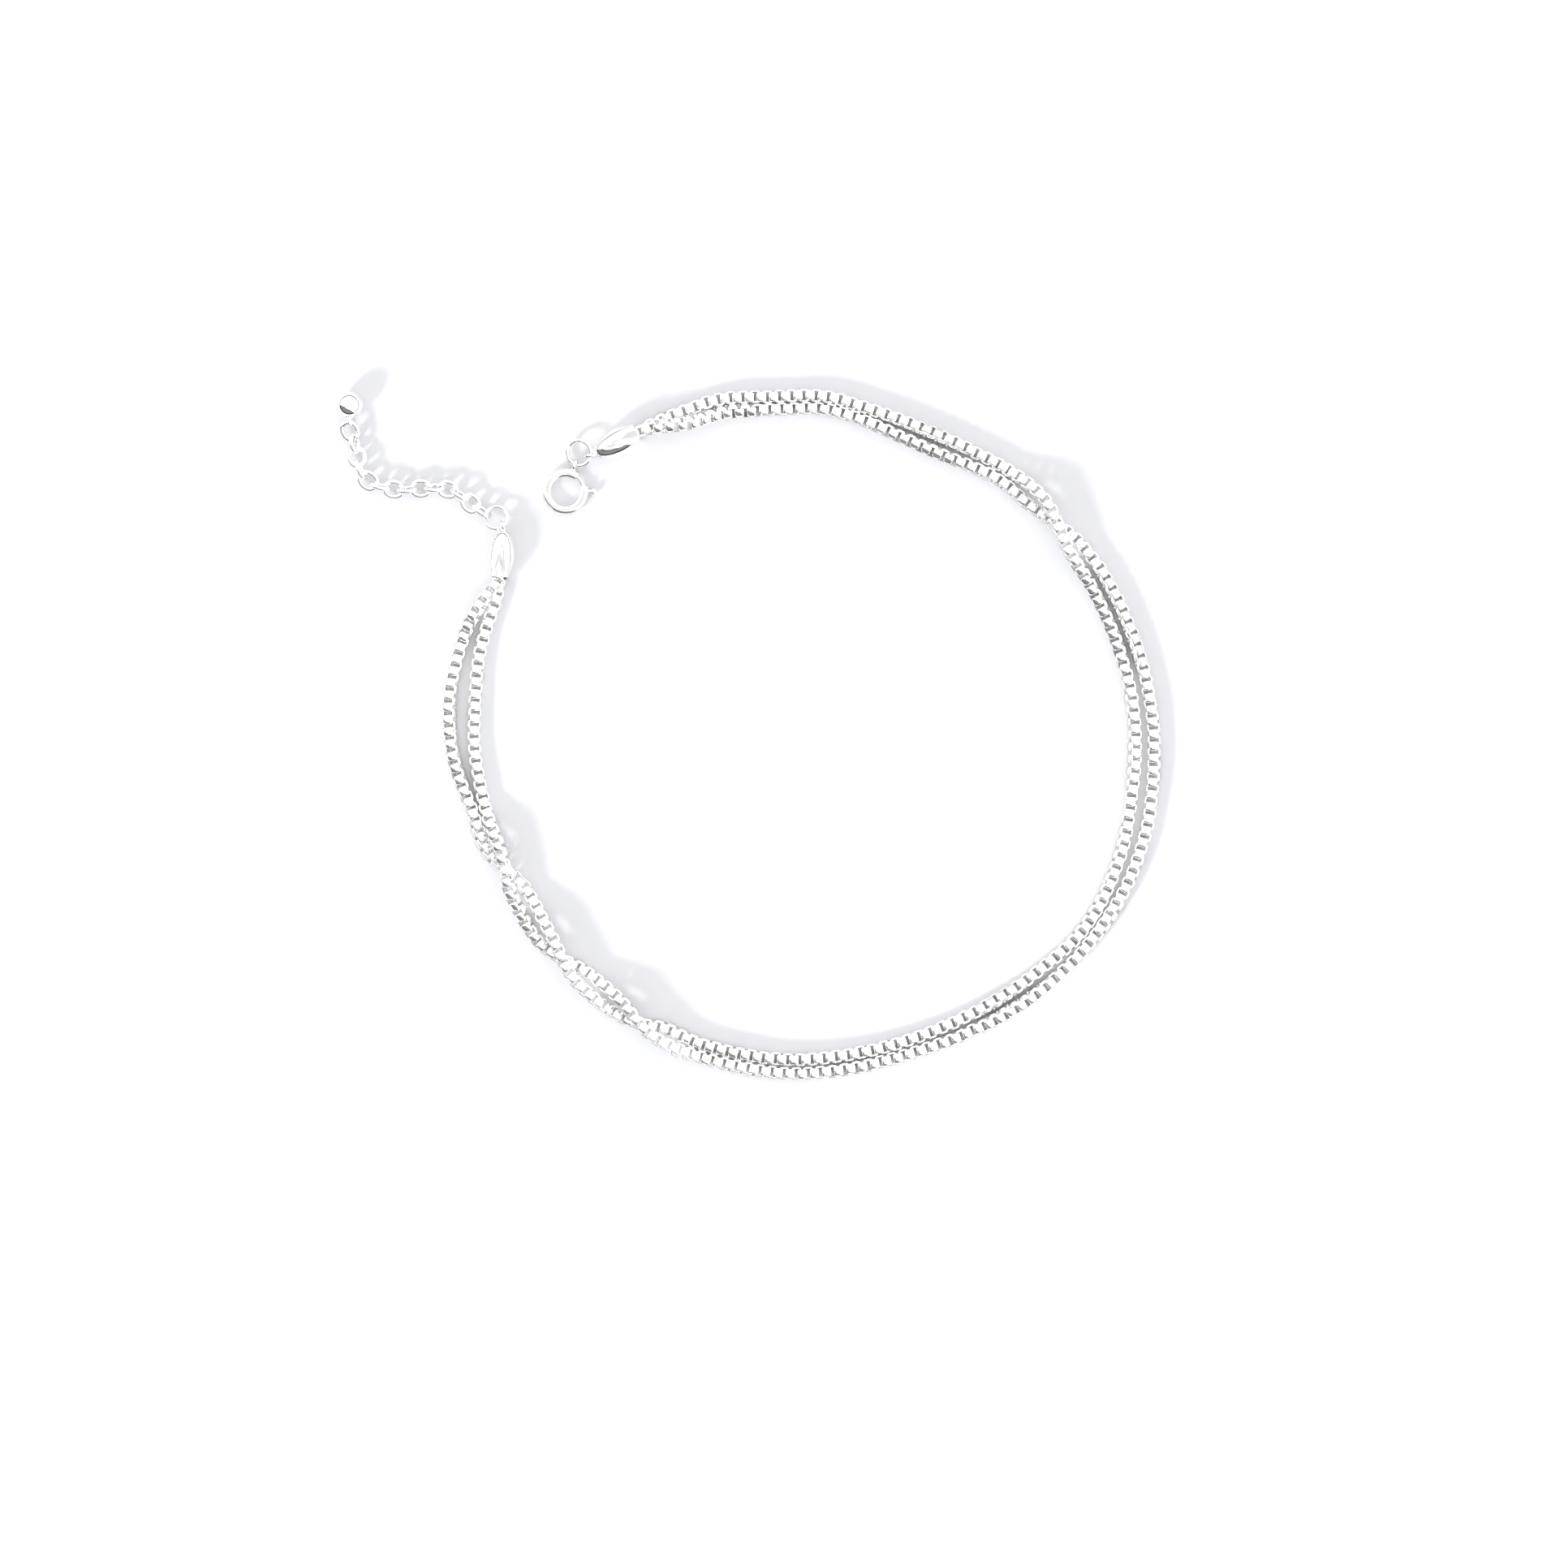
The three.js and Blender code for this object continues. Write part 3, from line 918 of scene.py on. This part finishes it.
@dataclass
class EndCap:
    """An oval cap over both chains' ends, with a soldered eye of wire.

    The shoulder, where the cap is widest, and the open throat are at shares of the length from the
    mouth. The mouth is pinched to a share of its width.
    """

    name: str
    node: str
    mouth: Vector
    heading: float
    eye_turn: float
    length: float = 5.2 * MM
    radius: float = 1.55 * MM
    mouth_radius: float = 1.5 * MM
    shoulder: float = 0.36
    neck_rings: int = 12
    dome_rings: int = 16
    dome_power: float = 0.9
    pinch: float = 0.68
    pinch_length: float = 2.2 * MM
    mouth_squareness: float = 2.2
    wall: float = 0.13 * MM
    lip: float = 0.04 * MM
    throat: float = 0.3
    eye_radius: float = 0.62 * MM
    eye_wire: float = 0.2 * MM
    eye_reach: float = 0.45 * MM
    solder: tuple[float, float, float] = (0.26 * MM, 0.4 * MM, 0.4 * MM)
    solder_sink: float = 0.02 * MM

    @property
    def place(self) -> Matrix:
        """Where the cap's own frame goes: its mouth at the origin, its closed end along +X."""
        middle = LOOP_CENTRE + self.mouth + UP * self.radius
        return Matrix.Translation(middle) @ turn(self.heading, "Z")

    @property
    def eye(self) -> Vector:
        """Middle of the eye."""
        return self.place @ Vector((self.length + self.eye_reach, 0.0, 0.0))

    def outline(self, inset: float) -> list[tuple[float, float]]:
        """Gives the outline from mouth to closed end, set in by so much.

        Args:
            inset: Metres inside the outer skin.

        Returns:
            Pairs of distance along the axis and radius.
        """
        shoulder = self.length * self.shoulder
        swell = self.radius - self.mouth_radius
        points = []
        for k in range(self.neck_rings):
            share = k / self.neck_rings
            radius = self.mouth_radius + swell * math.sin(share * math.pi / 2)
            points.append((shoulder * share, radius - inset))
        for k in range(self.dome_rings):
            angle = math.pi / 2 * k / self.dome_rings
            along = shoulder + (self.length - inset - shoulder) * math.sin(angle)
            points.append((along, (self.radius - inset) * math.cos(angle) ** self.dome_power))
        points.append((self.length - inset, 0.0))
        return points

    def squeeze(self, verts: Iterable) -> None:
        """Narrows the mouth sideways and squares its section, to fit the two chains one on the other.

        Args:
            verts: The shell's vertices, in the cap's own frame.
        """
        for vert in verts:
            share = smoothstep(vert.co.x, 0.0, self.pinch_length)
            power = 2.0 + self.mouth_squareness * (1.0 - share)
            radius = math.hypot(vert.co.y, vert.co.z)
            if radius > 0.0:
                across, up = abs(vert.co.y) / radius, abs(vert.co.z) / radius
                grow = (across**power + up**power) ** (-1.0 / power)
                vert.co.y *= grow
                vert.co.z *= grow
            vert.co.y *= self.pinch + (1.0 - self.pinch) * share

    def build(self, workshop: Workshop) -> bpy.types.Object:
        """Builds the shell with its rolled lip, its eye and the solder at the eye's foot.

        Args:
            workshop: What dresses the piece.

        Returns:
            The cap.
        """
        bm = bmesh.new()
        deepest = self.length * self.throat
        deep = [point for point in reversed(self.outline(self.wall)) if point[0] < deepest]
        lip = (-self.lip, self.mouth_radius - self.wall / 2)
        profile = [(deep[0][0], 0.0), *deep, lip, *self.outline(0.0)]
        add_lathe(bm, profile, steps=36)
        self.squeeze(bm.verts)
        bmesh.ops.recalc_face_normals(bm, faces=bm.faces[:])
        bm.normal_update()
        # Painted shade: every face turned inwards, inside the cap, is painted fully darker and duller.
        shelter = bm.verts.layers.float.new("shelter")
        for vert in bm.verts:
            facing_in = vert.normal.y * vert.co.y + vert.normal.z * vert.co.z < 0.0
            vert[shelter] = 1.0 if facing_in else 0.0
        bmesh.ops.transform(bm, matrix=self.place, verts=bm.verts[:])
        obj = new_piece(self.name, bm, smooth_below=50.0)

        turned = turn(self.eye_turn, "Z") @ turn(90.0, "X")
        centre = Matrix.Translation((self.length + self.eye_reach, 0.0, 0.0))
        eye_place = self.place @ centre @ turned
        eye = wire_eye(self.name + "_eye", self.eye_radius, self.eye_wire, eye_place)
        foot = self.place @ Matrix.Translation((self.length - self.solder_sink, 0.0, 0.0))
        solder = solder_blob(self.name + "_solder", self.solder, foot)
        unite(obj, [("UNION", solder), ("UNION", eye)])
        return workshop.dress(obj, CAP_SILVER, Slot.END_CAP, Body.ROOT, self.node)


# Rings and clasp ----------------------------------------------------------------------------------


@dataclass
class JumpRing:
    """A ring of round wire whose sawn ends meet at a hairline seam of so many degrees."""

    name: str
    node: str
    centre: Vector
    stance: Matrix
    radius: float
    wire: float
    seam: float = 2.2
    end_bevel: float = 0.03 * MM

    def build(self, workshop: Workshop) -> bpy.types.Object:
        """Builds the ring.

        Args:
            workshop: What dresses the piece.

        Returns:
            The ring.
        """
        bm = bmesh.new()
        add_torus(bm, self.radius, self.wire, steps=56, sides=14, arc=360.0 - self.seam)
        bevel_edges(bm, cap_edges(bm), self.end_bevel, segments=2)
        place = Matrix.Translation(self.centre) @ self.stance
        bmesh.ops.transform(bm, matrix=place, verts=bm.verts[:])
        obj = new_piece(self.name, bm)
        return workshop.dress(obj, WIRE_SILVER, Slot.JUMP_RING, Body.ROOT, self.node)


@dataclass
class SpringClasp:
    """A spring ring lying flat: hollow open ring with slot and eye, and the bolt with its knob.

    The gap, the slot and the bolt run between two bearings each, in degrees from +X. The slot's ends
    are rounded by a share of its width, and gap_sharp is in radians.
    """

    centre: Vector
    eye_bearing: float = 70.0
    radius: float = 2.05 * MM
    tube: float = 0.55 * MM
    bore: float = 0.38 * MM
    gap: tuple[float, float] = (14.0, 52.0)
    gap_bevel: float = 0.035 * MM
    gap_sharp: float = 1.2
    slot: tuple[float, float] = (-52.0, 7.0)
    slot_width: float = 0.64 * MM
    slot_round: float = 0.45
    eye_radius: float = 0.55 * MM
    eye_wire: float = 0.18 * MM
    eye_reach: float = 3.1 * MM
    eye_clear: float = 0.02 * MM
    solder: tuple[float, float, float] = (0.2 * MM, 0.34 * MM, 0.34 * MM)
    solder_sink: float = 0.02 * MM
    solder_height: float = 0.06 * MM
    bolt: float = 0.28 * MM
    bolt_bevel: float = 0.1 * MM
    bolt_arc: tuple[float, float] = (-62.0, 57.0)
    pin: float = 0.24 * MM
    knob: float = 0.42 * MM
    knob_reach: float = 3.2 * MM

    @property
    def place(self) -> Matrix:
        """Where the ring's own frame goes."""
        return Matrix.Translation(self.centre)

    @property
    def eye_height(self) -> float:
        """Height of the eye's middle above the ring's, which keeps the eye clear of the floor."""
        return self.eye_radius + self.eye_wire + self.eye_clear - self.tube

    @property
    def _section(self) -> Matrix:
        """Where a section of the ring's tube stands, at bearing 0 in the ring's own frame."""
        return Matrix.Translation((self.radius, 0.0, 0.0)) @ turn(90.0, "X")

    def _tube(self) -> bpy.types.Object:
        """Builds the hollow open ring.

        Returns:
            The ring.
        """
        bm = bmesh.new()
        edges = []
        for radius in (self.tube, self.bore):
            edges += add_circle(bm, radius, sides=28, place=self._section)
        faces = bmesh.ops.bridge_loops(bm, edges=edges)["faces"]
        bmesh.ops.transform(bm, matrix=turn(self.gap[1], "Z"), verts=bm.verts[:])
        bmesh.ops.spin(
            bm, geom=[*bm.verts, *bm.edges, *faces], cent=(0.0, 0.0, 0.0), axis=(0.0, 0.0, 1.0),
            angle=math.radians(360.0 - self.gap[1] + self.gap[0]), steps=110, use_merge=False,
        )
        bmesh.ops.recalc_face_normals(bm, faces=bm.faces[:])
        ends = [edge for edge in bm.edges if edge.calc_face_angle(0.0) > self.gap_sharp]
        bevel_edges(bm, ends, self.gap_bevel, segments=2)
        bmesh.ops.transform(bm, matrix=self.place, verts=bm.verts[:])
        return new_piece("spring_ring_body", bm)

    def _slot_cutter(self) -> bpy.types.Object:
        """Builds the curved bar with round ends that cuts the knob's slot.

        Returns:
            The bar.
        """
        bm = bmesh.new()
        reach = self.radius + self.tube
        bmesh.ops.create_grid(bm, x_segments=1, y_segments=1, size=self.slot_width / 2)
        standing = Matrix.Translation((reach, 0.0, 0.0)) @ turn(90.0, "X")
        bmesh.ops.transform(bm, matrix=turn(self.slot[0], "Z") @ standing, verts=bm.verts[:])
        bmesh.ops.spin(
            bm, geom=[*bm.verts, *bm.edges, *bm.faces], cent=(0.0, 0.0, 0.0), axis=(0.0, 0.0, 1.0),
            angle=math.radians(self.slot[1] - self.slot[0]), steps=16, use_merge=False,
        )
        bmesh.ops.recalc_face_normals(bm, faces=bm.faces[:])
        radial = []
        for face in bm.faces:
            sideways = abs(face.normal.dot(face.calc_center_median())) < 0.3 * reach
            if sideways and abs(face.normal.z) < 0.1:
                radial += [edge for edge in face.edges if extent(edge).z < TOUCHING]
        bevel_edges(bm, radial, self.slot_width * self.slot_round, segments=5)
        bmesh.ops.transform(bm, matrix=self.place, verts=bm.verts[:])
        return new_piece("slot_cutter", bm)

    def _eye(self) -> bpy.types.Object:
        """Builds the upright eye.

        Returns:
            The eye.
        """
        local = Matrix.Translation((self.eye_reach, 0.0, self.eye_height)) @ turn(90.0, "X")
        place = self.place @ turn(self.eye_bearing, "Z") @ local
        return wire_eye("spring_ring_eye", self.eye_radius, self.eye_wire, place)

    def _solder(self) -> bpy.types.Object:
        """Builds the flow of solder between the ring and its eye.

        Returns:
            The solder.
        """
        reach = self.radius + self.tube - self.solder_sink
        local = Matrix.Translation((reach, 0.0, self.solder_height))
        place = self.place @ turn(self.eye_bearing, "Z") @ local
        return solder_blob("spring_ring_solder", self.solder, place)

    def build_ring(self, workshop: Workshop) -> bpy.types.Object:
        """Builds the ring, cuts its slot and solders on its eye.

        Args:
            workshop: What dresses the piece.

        Returns:
            The ring.
        """
        ring = self._tube()
        ring.name = "spring_ring_polished"
        cutter = self._slot_cutter()
        solder = self._solder()
        unite(ring, [("DIFFERENCE", cutter), ("UNION", solder), ("UNION", self._eye())])
        return workshop.dress(ring, CLASP_SILVER, Slot.CLASP, Body.ROOT, "spring_ring")

    def build_trigger(self, workshop: Workshop) -> bpy.types.Object:
        """Builds the curved bolt, its pin and the domed knob.

        Args:
            workshop: What dresses the piece.

        Returns:
            The bolt with its knob.
        """
        bm = bmesh.new()
        edges = add_circle(bm, self.bolt, sides=20, place=self._section)
        cap = bmesh.ops.contextual_create(bm, geom=edges)["faces"]
        bmesh.ops.transform(bm, matrix=turn(self.bolt_arc[0], "Z"), verts=bm.verts[:])
        arc = math.radians(self.bolt_arc[1] - self.bolt_arc[0])
        bmesh.ops.spin(
            bm, geom=[*bm.verts, *bm.edges, *cap], cent=(0.0, 0.0, 0.0), axis=(0.0, 0.0, 1.0),
            angle=arc, steps=44, use_merge=False,
        )
        bevel_edges(bm, cap_edges(bm), self.bolt_bevel, segments=3)
        bmesh.ops.transform(bm, matrix=self.place, verts=bm.verts[:])
        bolt = new_piece("trigger_polished", bm)

        bm = bmesh.new()
        reach = self.knob_reach
        low, high = reach - 0.62 * self.knob, reach + 0.82 * self.knob
        profile = [
            (self.radius, 0.0), (self.radius, self.pin), (low - 0.12 * MM, self.pin),
            (low - 0.03 * MM, self.pin * 1.15), (low, self.knob * 0.72),
            (low + 0.06 * MM, self.knob * 0.9), (low + 0.16 * MM, self.knob),
            (low + 0.26 * MM, self.knob * 0.98), (reach + 0.3 * self.knob, self.knob * 0.84),
            (reach + 0.6 * self.knob, self.knob * 0.55),
            (reach + 0.77 * self.knob, self.knob * 0.26), (high, 0.0),
        ]
        add_lathe(bm, profile, steps=24)
        bmesh.ops.transform(bm, matrix=self.place, verts=bm.verts[:])
        knob = new_piece("trigger_knob", bm)
        unite(bolt, [("UNION", knob)], smooth_below=45.0)
        return workshop.dress(bolt, CLASP_SILVER, Slot.CLASP, Body.TRIGGER, "trigger")


# Extender -----------------------------------------------------------------------------------------


@dataclass
class Extender:
    """The chain of small oval wire links, and the ball that ends it.

    The links stand and lie in turn, each leaning and turned by a little slack in degrees. The last ones
    hang with their wires a hair apart from the jump ring's and the ball's eye's.
    """

    seed: int = 7
    half_length: float = 1.02 * MM
    half_width: float = 0.86 * MM
    wire: float = 0.25 * MM
    pitch: float = 1.48 * MM
    wires_apart: float = 0.04 * MM
    end_fullness: float = 0.45
    lean_slack: float = 8.0
    turn_slack: float = 5.0
    flat_lean: float = -14.0
    upright_lean: float = 74.0
    flat_height: float = 0.85 * MM
    upright_height: float = 1.1 * MM
    end_rise: float = 0.2 * MM
    ball_place: Vector = field(default_factory=lambda: Vector((-49.75, 35.95, 0.0)) * MM)
    ball_radius: float = 1.5 * MM
    ball_eye: float = 0.5 * MM
    ball_wire: float = 0.16 * MM

    def _link(self) -> bpy.types.Mesh:
        """Builds one oval link, its long side along X.

        Returns:
            The link, about the origin.
        """
        bm = bmesh.new()
        add_torus(bm, self.half_width, self.wire, steps=28, sides=12)
        stretch = self.half_length - self.half_width
        for vert in bm.verts:
            vert.co.x += stretch * math.tanh(vert.co.x / (self.end_fullness * self.half_width))
        mesh = bpy.data.meshes.new("oval_link")
        bm.to_mesh(mesh)
        bm.free()
        return mesh

    def build_chain(self, workshop: Workshop, first: Vector) -> bpy.types.Object:
        """Lays the links along the route, leaning one way and the other in turn.

        Args:
            workshop: What dresses the piece.
            first: Where the first link's middle is.

        Returns:
            The chain.
        """
        route = self._route(first)
        link = self._link()
        noise = random.Random(self.seed)
        bm = bmesh.new()
        count = round(route.length / self.pitch) + 1
        gap = route.length / (count - 1)
        for i in range(count):
            stands = i % 2 == 0
            place = route.point(i * gap)
            place.z += self.upright_height if stands else self.flat_height
            lean = self.upright_lean if stands else self.flat_lean
            roll = math.radians(lean + noise.uniform(-self.lean_slack, self.lean_slack))
            askew = turn(noise.uniform(-self.turn_slack, self.turn_slack), "Z")
            matrix = upright(place, route.heading(i * gap), roll) @ askew
            copy = link.copy()
            copy.transform(matrix)
            bm.from_mesh(copy)
            bpy.data.meshes.remove(copy)
        bpy.data.meshes.remove(link)
        obj = new_piece("extender_links", bm, smooth_below=60.0, recalculate=False)
        return workshop.dress(obj, WIRE_SILVER, Slot.EXTENDER, Body.ROOT, "extender_chain")

    def _route(self, first: Vector) -> Route:
        """Gives the level route of the links' middles, rising a little to the ball's eye.

        Args:
            first: Where the first link's middle is. The last one's hangs in the ball's eye, so both
                ends of EXTENDER_ROUTE give way to them.

        Returns:
            The route, at height 0.
        """
        eye_reach = self.ball_radius + self.ball_eye * 1.5 - self.ball_wire
        link_reach = self.half_length - self.wire - self.wires_apart
        last = LOOP_CENTRE + self.ball_place - Vector((0.0, eye_reach + link_reach, 0.0))
        between = [LOOP_CENTRE + Vector((x, y, 0.0)) for x, y in EXTENDER_ROUTE[1:-1]]
        points = [first.copy(), *between, last]
        for point in points:
            point.z = 0.0
        points[-1].z = self.end_rise
        return Route(points, 0.0)

    def build_ball(self, workshop: Workshop) -> bpy.types.Object:
        """Builds the ball with its soldered eye.

        Args:
            workshop: What dresses the piece.

        Returns:
            The ball.
        """
        centre = Matrix.Translation(LOOP_CENTRE + self.ball_place + UP * self.ball_radius)
        bm = bmesh.new()
        bmesh.ops.create_uvsphere(
            bm, u_segments=56, v_segments=36, radius=self.ball_radius, matrix=centre
        )
        ball = new_piece("polished_ball", bm)
        reach = -self.ball_radius - self.ball_eye / 2
        place = centre @ Matrix.Translation((0.0, reach, 0.0)) @ turn(90.0, "Y")
        eye = wire_eye("ball_eye", self.ball_eye, self.ball_wire, place, steps=32, sides=12)
        unite(ball, [("UNION", eye)])
        return workshop.dress(ball, BALL_SILVER, Slot.BALL, Body.ROOT, "end_ball")


# Assembly and studio ------------------------------------------------------------------------------


@dataclass
class Anklet:
    """The whole anklet, built from the clasp round to the ball."""

    near_clasp: tuple[float, float, float] = (0.8 * MM, 14.2 * MM, 31.0)
    ring_bearing: float = 165.0
    ring_radius: float = 1.4 * MM
    ring_wire: float = 0.22 * MM
    ring_seam: float = 100.0
    extender_ring_bearing: float = 130.0
    extender_ring_radius: float = 1.25 * MM
    extender_ring_wire: float = 0.21 * MM
    extender_ring_height: float = 1.15 * MM
    extender_ring_tilt: float = 14.0
    extender_ring_seam: float = 70.0
    extender_bearing: float = 155.0

    def build(self, workshop: Workshop) -> None:
        """Builds every piece.

        Args:
            workshop: What dresses the pieces.
        """
        first_chain = BoxChain(Strand.FIRST, "box_links_first", "box_chain_first", seed=1)
        second_chain = BoxChain(
            Strand.SECOND, "box_links_second", "box_chain_second", seed=4, twists=(self.near_clasp,)
        )
        clasp_cap = EndCap(
            "clasp_cap_shell", "clasp_end_cap", mouth=Vector((-18.0, 32.9, 0.0)) * MM,
            heading=207.0, eye_turn=-21.0,
        )
        extender_cap = EndCap(
            "extender_cap_shell", "extender_end_cap", mouth=Vector((-33.15, 16.95, 0.0)) * MM,
            heading=86.0, eye_turn=22.0,
        )
        for part in (first_chain, second_chain, clasp_cap, extender_cap):
            part.build(workshop)
        self._clasp(workshop, clasp_cap.eye)
        self._extender(workshop, extender_cap.eye)

    def _clasp(self, workshop: Workshop, cap_eye: Vector) -> None:
        """Builds the jump ring and the spring ring that hang on the cap's eye.

        Args:
            workshop: What dresses the pieces.
            cap_eye: Middle of the cap's eye.
        """
        clasp = SpringClasp(Vector())
        ring_centre = cap_eye + polar(self.ring_bearing, self.ring_radius)
        clasp.centre = ring_centre - polar(clasp.eye_bearing, clasp.eye_reach + self.ring_radius)
        clasp.centre.z = clasp.tube
        low, high = clasp.tube + clasp.eye_height, cap_eye.z
        middle = (low + high) / 2
        to_cap = polar(self.ring_bearing + 180.0, self.ring_radius, high - middle)
        to_clasp = polar(clasp.eye_bearing + 180.0, self.ring_radius, low - middle)
        normal = to_clasp.cross(to_cap).normalized()
        ring_centre.z = middle
        tilt = UP.rotation_difference(normal).to_matrix().to_4x4()
        ring = JumpRing(
            "clasp_ring_wire", "clasp_jump_ring", ring_centre, tilt @ turn(self.ring_seam, "Z"),
            self.ring_radius, self.ring_wire,
        )
        ring.build(workshop)
        clasp.build_ring(workshop)
        clasp.build_trigger(workshop)

    def _extender(self, workshop: Workshop, cap_eye: Vector) -> None:
        """Builds the sloping jump ring, the oval links and the ball.

        Args:
            workshop: What dresses the pieces.
            cap_eye: Middle of the cap's eye.
        """
        centre = cap_eye + polar(self.extender_ring_bearing, self.extender_ring_radius)
        centre.z = self.extender_ring_height
        tilt = turn(self.extender_ring_bearing, "Z") @ turn(self.extender_ring_tilt, "Y")
        ring = JumpRing(
            "extender_ring_wire", "extender_jump_ring", centre,
            tilt @ turn(self.extender_ring_seam, "Z"), self.extender_ring_radius,
            self.extender_ring_wire,
        )
        ring.build(workshop)
        extender = Extender()
        ring_reach = self.extender_ring_radius - self.extender_ring_wire
        reach = ring_reach + extender.half_length - extender.wire - extender.wires_apart
        first = centre + polar(self.extender_bearing, reach)
        extender.build_chain(workshop, first)
        extender.build_ball(workshop)


@dataclass
class Studio:
    """Pale floor, bright surround, a low soft key light and the camera overhead.

    Reflections see a bright band all round, a patchy ceiling over it, a dim horizon under it, a dark
    side low on one side and a little shade on the far one. Each edge is the pair of values between
    which such a part fades in.
    """

    camera_height: float = 0.55
    view_width: float = 0.1739
    aim: tuple[float, float] = (0.00389, -0.00544)
    floor_size: float = 6.0
    floor_color: tuple[float, float, float] = (0.93, 0.93, 0.94)
    floor_roughness: float = 0.85
    surround: float = 0.95
    surround_color: tuple[float, float, float] = (0.965, 0.97, 1.0)
    around: float = 4.0
    ceiling: tuple[float, float] = (0.85, 1.25)
    ceiling_edge: tuple[float, float] = (0.42, 0.93)
    patch_scale: float = 5.0
    patch_edge: tuple[float, float] = (0.38, 0.62)
    horizon: float = 0.13
    horizon_edge: tuple[float, float] = (0.08, 0.45)
    low_edge: tuple[float, float] = (0.6, 0.94)
    dark_side: tuple[float, float, float] = (-0.5, -0.87, 0.0)
    dark_edge: tuple[float, float] = (0.4, 0.62)
    far_shade: float = 0.4
    far_edge: tuple[float, float] = (0.3, 0.8)
    darkest: float = 0.08
    shade_edge: tuple[float, float] = (0.1, 0.8)
    key_power: float = 19.0
    key_bearing: float = 225.0
    key_elevation: float = 29.0
    key_distance: float = 2.0
    key_size: float = 0.34

    def build(self) -> None:
        """Sets up everything around the anklet."""
        scene = bpy.context.scene
        scene.view_settings.view_transform = "Standard"
        scene.cycles.glossy_bounces = 10
        self._floor()
        self._world()
        self._key()
        self._camera()

    def _floor(self) -> None:
        """Lays the floor."""
        bm = bmesh.new()
        bmesh.ops.create_grid(bm, x_segments=1, y_segments=1, size=self.floor_size / 2)
        floor = new_piece("floor", bm)
        material = bpy.data.materials.new("floor_card")
        material.use_nodes = True
        sketch = Sketch(material.node_tree)
        shader = sketch.add(
            "BsdfPrincipled", Base_Color=(*self.floor_color, 1.0), Roughness=self.floor_roughness
        )
        sketch.add("OutputMaterial", Surface=shader.outputs[0])
        floor.data.materials.append(material)

    def _world(self) -> None:
        """Makes the surround: even light, with darker low bands that only reflections see."""
        world = bpy.data.worlds.new("surround")
        world.use_nodes = True
        bpy.context.scene.world = world
        sketch = Sketch(world.node_tree)
        way = sketch.add("TexCoord").outputs["Generated"]
        axes = sketch.add("SeparateXYZ", Vector=way)
        height = axes.outputs["Z"]
        low = sketch.ramp(height, *self.low_edge, 1.0, 0.0)
        side = sketch.add("VectorMath", {"operation": "DOT_PRODUCT"}, i0=way, i1=self.dark_side)
        near = sketch.ramp(side.outputs["Value"], *self.dark_edge, 0.0, 1.0)
        far = sketch.ramp(axes.outputs["Y"], *self.far_edge, 0.0, self.far_shade)
        shade = sketch.math("MULTIPLY", low, sketch.math("MAXIMUM", near, far))
        patches = sketch.add("TexNoise", Vector=way, Scale=self.patch_scale, Detail=1.0).outputs[0]
        ceiling = sketch.ramp(patches, *self.patch_edge, *self.ceiling)
        lit = sketch.ramp(height, *self.ceiling_edge, self.around, ceiling)
        level = sketch.ramp(height, *self.horizon_edge, self.horizon, 1.0)
        shaded = sketch.ramp(shade, *self.shade_edge, 1.0, self.darkest)
        strength = sketch.math("MULTIPLY", lit, sketch.math("MULTIPLY", level, shaded))
        even = sketch.add(
            "Background", Color=(*self.surround_color, 1.0), Strength=self.surround
        )
        seen = sketch.add("Background", Color=(1.0, 1.0, 1.0, 1.0), Strength=strength)
        glossy = sketch.add("LightPath").outputs["Is Glossy Ray"]
        both = sketch.add("MixShader", i0=glossy, i1=even.outputs[0], i2=seen.outputs[0])
        sketch.add("OutputWorld", Surface=both.outputs[0])

    def _key(self) -> None:
        """Hangs the soft key light low on one side."""
        tilt = math.radians(self.key_elevation)
        away = polar(self.key_bearing, math.cos(tilt), math.sin(tilt))
        light = bpy.data.lights.new("key", "AREA")
        light.shape = "DISK"
        light.size = self.key_size
        light.energy = self.key_power
        lamp = bpy.data.objects.new("key", light)
        lamp.location = away * self.key_distance
        lamp.rotation_euler = away.to_track_quat("Z", "Y").to_euler()
        lamp.visible_glossy = False
        bpy.context.scene.collection.objects.link(lamp)

    def _camera(self) -> None:
        """Puts the camera straight above the anklet."""
        camera = bpy.data.objects.new("camera", bpy.data.cameras.new("camera"))
        camera.data.lens = camera.data.sensor_width * self.camera_height / self.view_width
        camera.data.clip_start = 0.01
        camera.location = (*self.aim, self.camera_height)
        bpy.context.scene.collection.objects.link(camera)
        bpy.context.scene.camera = camera


def main() -> None:
    """Builds the anklet and its studio."""
    logging.basicConfig(level=logging.INFO, format="%(message)s")
    Anklet().build(Workshop())
    Studio().build()


if __name__ == "__main__":
    main()
